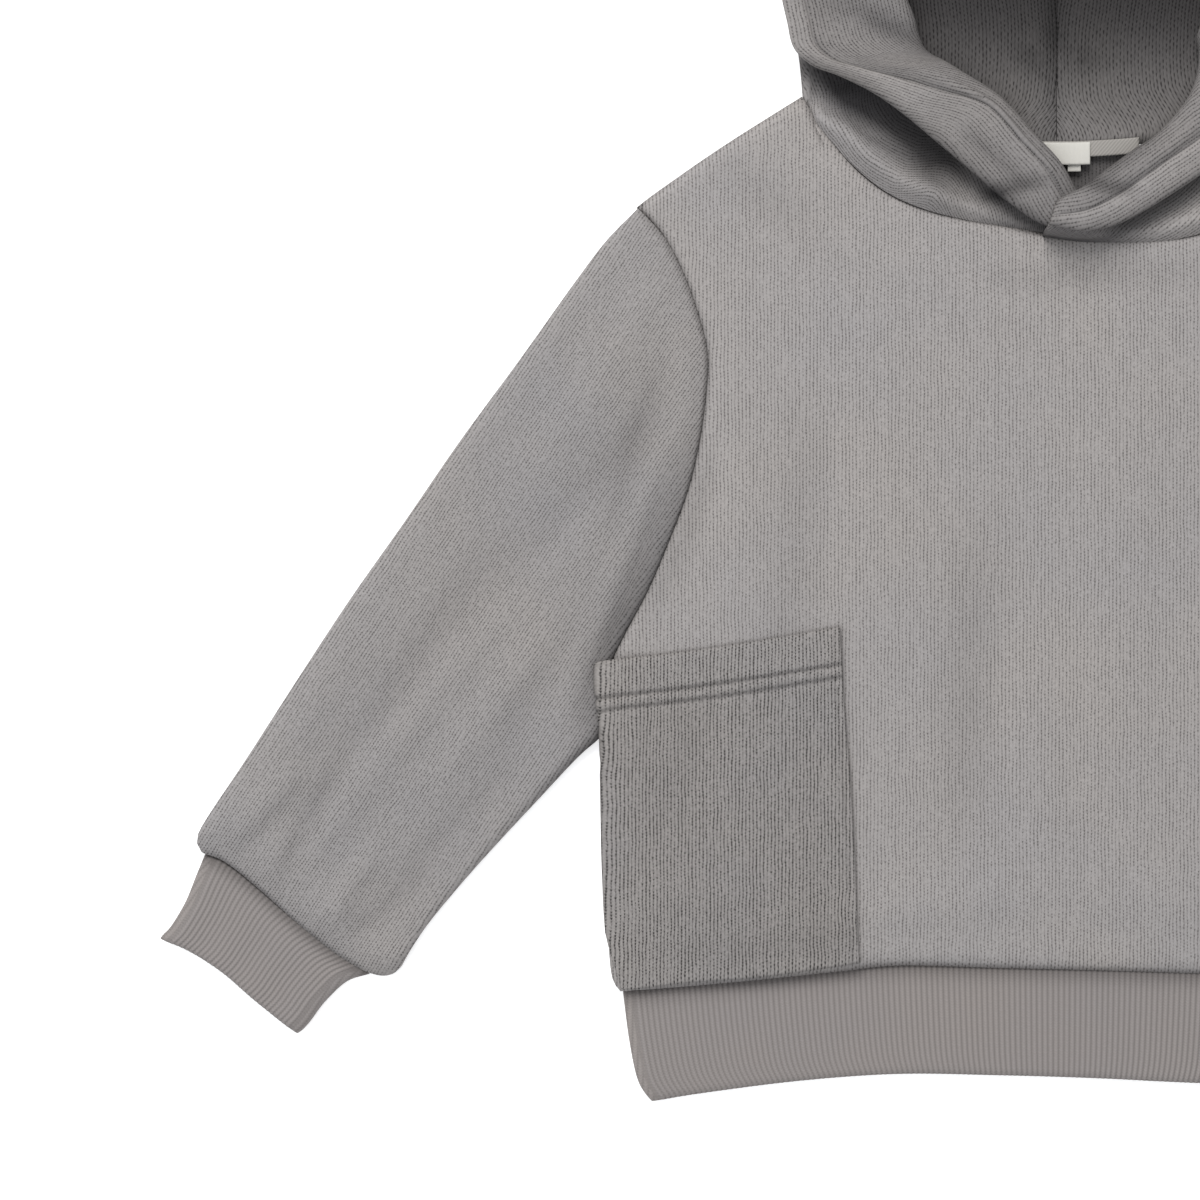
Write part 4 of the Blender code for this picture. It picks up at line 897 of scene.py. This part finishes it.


# creases of the folded layers, and ridges and troughs of the lining at the back of the head, where a trough
# only lowers a ridge and is otherwise painted shade alone; columns as in CREASES
HOOD_CREASES = [(-74.0, 188.0, 20.0, -34.0, 3.0, 0.8), (-58.0, 176.0, 24.0, -30.0, 3.2, -0.8),
                (-40.0, 166.0, 22.0, -26.0, 3.0, 0.6), (-86.0, 214.0, 26.0, 80.0, 7.0, 0.8),
                (-19.0, 163.5, 14.0, 12.0, 3.5, -1.5), (-26.0, 176.0, 16.0, -40.0, 4.0, -1.0),
                (-80.0, 218.0, 22.0, -21.0, 4.0, 1.2), (-66.0, 226.0, 20.0, -25.0, 5.0, -1.2),
                (-84.0, 262.0, 44.0, 86.0, 9.0, -0.8), (-98.0, 300.0, 40.0, 98.0, 8.0, 0.8),
                (-60.0, 344.0, 40.0, 50.0, 9.0, 0.7), (-30.0, 300.0, 60.0, 96.0, 14.0, 0.6)]
FLOOR_CREASES = [(-40.0, 236.0, 40.0, 70.0, 9.0, 1.6), (-20.0, 262.0, 50.0, 100.0, 8.0, 1.3),
                 (-30.0, 300.0, 60.0, 120.0, 12.0, 1.6), (-14.0, 206.0, 30.0, 20.0, 7.0, 0.8),
                 (-12.0, 212.0, 18.0, 62.0, 6.0, -1.6), (-30.0, 226.0, 16.0, 120.0, 6.0, -0.4)]


def head_loft(points):
    """How far the lining stands off the outer cloth at the back of the head."""
    up = np.clip((points[:, 1] - 186.0) / 110.0, 0, 1)
    down = np.clip((368.0 - points[:, 1]) / 50.0, 0, 1)
    return 12.0 * up * up * (3 - 2 * up) * down * down * (3 - 2 * down) * np.exp(-(points[:, 0] / 44.0) ** 4)


def refined(grid, axis, steps, corners=()):
    """A grid of points with smoothly placed ones added along one axis; its own points are kept."""
    grid = np.moveaxis(np.asarray(grid, float), axis, 0)
    out = []
    last = len(grid) - 1
    for i in range(last):
        b, c = grid[i], grid[i + 1]
        a = grid[i - 1] if i > 0 and i not in corners else 2 * b - c
        d = grid[i + 2] if i + 1 < last and i + 1 not in corners else 2 * c - b
        # tangents are weighted by the steps' lengths, so a short step beside a long one doesn't loop
        ab, bc, cd = (np.maximum(np.linalg.norm(q - p, axis=-1, keepdims=True), 1e-6)
                      for p, q in ((a, b), (b, c), (c, d)))
        tangent_b = ((b - a) / ab * bc + (c - b) / bc * ab) / (ab + bc) * np.minimum(bc, 1.5 * ab)
        tangent_c = ((c - b) / bc * cd + (d - c) / cd * bc) / (bc + cd) * np.minimum(bc, 1.5 * cd)
        for u in np.arange(steps) / steps:
            out.append((2 * u ** 3 - 3 * u ** 2 + 1) * b + (u ** 3 - 2 * u ** 2 + u) * tangent_b
                       + (3 * u ** 2 - 2 * u ** 3) * c + (u ** 3 - u ** 2) * tangent_c)
    out.append(grid[-1])
    return np.moveaxis(np.array(out), 0, axis)


# the lining is the body's knit in darker colours, painted shade; the outer cloth the same knit a little
# lighter than the body's
LINING_KNIT_PAINTED_SHADE = knit_material("lining_knit_painted_shade", (0.10, 0.094, 0.092), (0.340, 0.321, 0.313), KNIT, painted_shade=True)
HOOD_KNIT = knit_material("hood_knit", (0.14, 0.131, 0.128), (0.398, 0.376, 0.366), KNIT, painted_shade=True)
STATION_STEPS = 6       # how many parts each step from station to station is cut into
SECTION_STEPS = 3       # and each step round a station
CORNER_TIGHT = 0.35     # the side fold starts this much tighter at the shoulder corner
for side, front_rows, end in ((1, HOOD_FRONT_RIGHT, "right"), (-1, HOOD_FRONT_LEFT, "left")):
    stations = front_rows + HOOD_UPPER
    corner = len(front_rows)
    short = [hood_section(row, i >= corner, CORNER_TIGHT if i == corner else 1.0)
             for i, row in enumerate(stations)]
    long = [side_fold(row, i == 0, CORNER_TIGHT if i == 0 else 1.0) for i, row in enumerate(HOOD_UPPER)]
    for layer, label in ((0, "hood_outer_"), (1, "hood_lining_")):
        a = np.array([s[layer] for s in short])
        b = np.concatenate([a[corner:], np.array([s[layer] for s in long])], axis=1)
        split = (a.shape[1] - 1) * SECTION_STEPS
        a = refined(refined(a, 1, SECTION_STEPS), 0, STATION_STEPS)
        b = refined(refined(b, 1, SECTION_STEPS), 0, STATION_STEPS)[:, split + 1:]
        start = corner * STATION_STEPS
        a_count, a_width = a.shape[:2]
        b_width = b.shape[1]
        index_a = np.arange(a_count * a_width).reshape(a_count, a_width)
        index_b = a_count * a_width + np.arange(b.shape[0] * b_width).reshape(b.shape[0], b_width)
        index_b = np.column_stack([index_a[start:, -1], index_b])
        quads = []
        for index in (index_a, index_b):
            quads.append(np.stack([index[:-1, :-1], index[1:, :-1], index[1:, 1:], index[:-1, 1:]],
                                  axis=-1).reshape(-1, 4))
        points = np.vstack([a.reshape(-1, 3), b.reshape(-1, 3)])
        run_a = np.concatenate([np.zeros((a_count, 1)),
                                np.cumsum(np.linalg.norm(np.diff(a, axis=1), axis=-1), axis=1)], axis=1)
        joined = np.concatenate([a[start:, -1:], b], axis=1)
        run_b = run_a[start:, -1:] + np.cumsum(np.linalg.norm(np.diff(joined, axis=1), axis=-1), axis=1)
        along = np.concatenate([[0], np.cumsum(np.linalg.norm(np.diff(a[:, 3], axis=0), axis=-1))])
        grain = np.vstack([
            np.stack([run_a, np.repeat(along[:, None], a_width, axis=1)], -1).reshape(-1, 2),
            np.stack([run_b, np.repeat(along[start:, None], b_width, axis=1)], -1).reshape(-1, 2)])
        upper_side = np.clip((points[:, 2] - 6.0) / 3.0, 0, 1)
        relief = creased(points[:, :2], HOOD_CREASES) * upper_side
        points[:, 2] += 1.3 * relief
        if layer == 1:
            points[:, 2] += (np.maximum(creased(points[:, :2], FLOOR_CREASES), 0)
                             + head_loft(points)) * (1 - upper_side)
            points[:, 2] -= 1.0 * np.exp(-(points[:, 0] / 1.6) ** 2) * (1 - upper_side)
        points[:, 2] = np.maximum(points[:, 2], FLAT_LINING if layer == 1 else FLAT_OUTER)
        # Painted shade: the lining is painted darker all over, its flat part more so and most towards the
        # back of the head, and again in its troughs. The outer cloth is painted darker on its folded layers
        # and in a line along the folded-back edge; where it lies low it is painted darkest beside that edge,
        # on the right half over a wider band in the valley by the neck seam, and the right half's folded
        # layers are darker towards the crossing. Every crease trough is painted darker too.
        back = np.clip((points[:, 1] - 172.0) / 70.0, 0, 1)
        if layer == 1:
            painted_shade = 0.28 + (1 - upper_side) * (0.08 + 0.60 * back * back * (3 - 2 * back))
            painted_shade = painted_shade + 0.14 * np.clip(-creased(points[:, :2], FLOOR_CREASES), 0, 3) * (1 - upper_side)
        else:
            lip = np.array([row[:2] for row in front_rows], float)      # the folded-back edge
            off_lip = distance(points[:, :2], lip)
            low = np.clip((13.0 - points[:, 2]) / 2.5, 0, 1)
            near = 0.80 * np.exp(-(off_lip / 8.0) ** 2)
            if side > 0:
                valley = (np.clip((points[:, 0] + 100.0) / 14.0, 0, 1)
                          * np.clip((-34.0 - points[:, 0]) / 18.0, 0, 1))
                near = near * (1 - 0.5 * valley) + 0.80 * valley * np.exp(-(off_lip / 17.0) ** 4)
            painted_shade = 0.20 - 0.18 * low + near * low + 0.34 * np.exp(-(off_lip / 3.6) ** 2) * (1 - low)
            painted_shade += 0.12 * np.clip((points[:, 0] + 62.0) / 14.0, 0, 1) * (1 - low) * (side > 0)
        painted_shade = np.clip(painted_shade + 0.24 * np.clip(-relief, 0, 3), 0, 1)
        points = points * np.array([side, 1, 1])
        hood = cloth(label + end + "_cloth", points, np.vstack(quads), HOOD_CLOTH, grain, outward=side,
                     painted_shade=painted_shade)
        hood.data.materials.append(LINING_KNIT_PAINTED_SHADE if layer == 1 else HOOD_KNIT)
        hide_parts(label + end)

# ---------------------------------------------------------------------------------------------------
# Neck trim: twill tape sewn over the back neck seam, a bare woven label over it and a small size tab
# under the label.
# ---------------------------------------------------------------------------------------------------
TRIM_Z = FLAT_LINING + HOOD_CLOTH / 2


def strip(name, x0, x1, width, thickness, y_top, z, sag, bow):
    """A narrow strip laid along the neck curve, its lower edge sagging a little."""
    columns, rows = 61, 13
    x = np.linspace(x0, x1, columns)[:, None] * np.ones((1, rows))
    v = np.linspace(0, 1, rows)[None, :] * np.ones((columns, 1))
    y = y_top + 3.4 * (x / 47.0) ** 2 - width * (1 - v)
    lift = sag * (1 - v) + bow * np.sin(math.pi * (x - x0) / (x1 - x0)) * (1 - v)
    middle = np.dstack([x, y, z + lift])
    thin = np.ones((columns, rows))
    thin[[0, -1]] = 0.5
    thin[:, [0, -1]] = 0.5
    return cloth(name, middle, grid_quads(columns, rows), thickness, np.dstack([x, y]), thin=thin.ravel())


def woven_material(name, colour, pitch, dark, slant):
    """Fine woven tape: threads as narrow ridges, slanted for twill."""
    material = bpy.data.materials.new(name)
    material.use_nodes = True
    nodes, links = material.node_tree.nodes, material.node_tree.links
    shader = nodes["Principled BSDF"]
    shader.inputs["Roughness"].default_value = 0.85
    shader.inputs["Specular IOR Level"].default_value = 0.2
    grain = nodes.new("ShaderNodeUVMap")
    grain.uv_map = "Grain"
    turn = nodes.new("ShaderNodeMapping")
    turn.inputs["Rotation"].default_value = (0.0, 0.0, slant)
    links.new(grain.outputs[0], turn.inputs["Vector"])
    thread = nodes.new("ShaderNodeTexWave")
    thread.inputs["Scale"].default_value = 0.31416 / pitch
    thread.inputs["Distortion"].default_value = 0.3
    links.new(turn.outputs[0], thread.inputs["Vector"])
    mix = nodes.new("ShaderNodeMixRGB")
    mix.inputs["Color1"].default_value = (colour[0] * dark, colour[1] * dark, colour[2] * dark, 1.0)
    mix.inputs["Color2"].default_value = (*colour, 1.0)
    links.new(thread.outputs["Fac"], mix.inputs["Fac"])
    links.new(mix.outputs["Color"], shader.inputs["Base Color"])
    bump = nodes.new("ShaderNodeBump")
    bump.inputs["Strength"].default_value = 0.4
    bump.inputs["Distance"].default_value = 0.0002
    links.new(thread.outputs["Fac"], bump.inputs["Height"])
    links.new(bump.outputs["Normal"], shader.inputs["Normal"])
    return material


TWILL = woven_material("twill_tape", (0.37, 0.352, 0.33), 1.1, 0.78, 0.7)
WOVEN = woven_material("woven_label", (0.68, 0.665, 0.62), 0.5, 0.9, 0.0)
# each strip: its node, slot and look; then from x, to x, width, thickness, y of its top edge, height, how
# far its lower edge sags and how far it bows up
TRIM = [
    ("twill_tape_strip", "neck_tape", "twill_tape", TWILL,
     -27.0, 33.0, 6.4, 0.8, 183.6, TRIM_Z + 0.75, 0.0, 0.2),
    ("woven_label_strip", "neck_label", "woven_label", WOVEN,
     -7.0, 13.2, 9.0, 0.5, 183.0, TRIM_Z + 1.8, 0.0, 0.3),
    ("size_tab_strip", "size_tab", "woven_label", WOVEN,
     4.4, 9.6, 5.2, 0.4, 176.6, TRIM_Z + 1.0, -0.4, 0.1),
]
for name, node, slot, look, *sizes in TRIM:
    piece = strip(name, *sizes)
    piece.data.materials.append(look)
    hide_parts(node)

low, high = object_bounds()
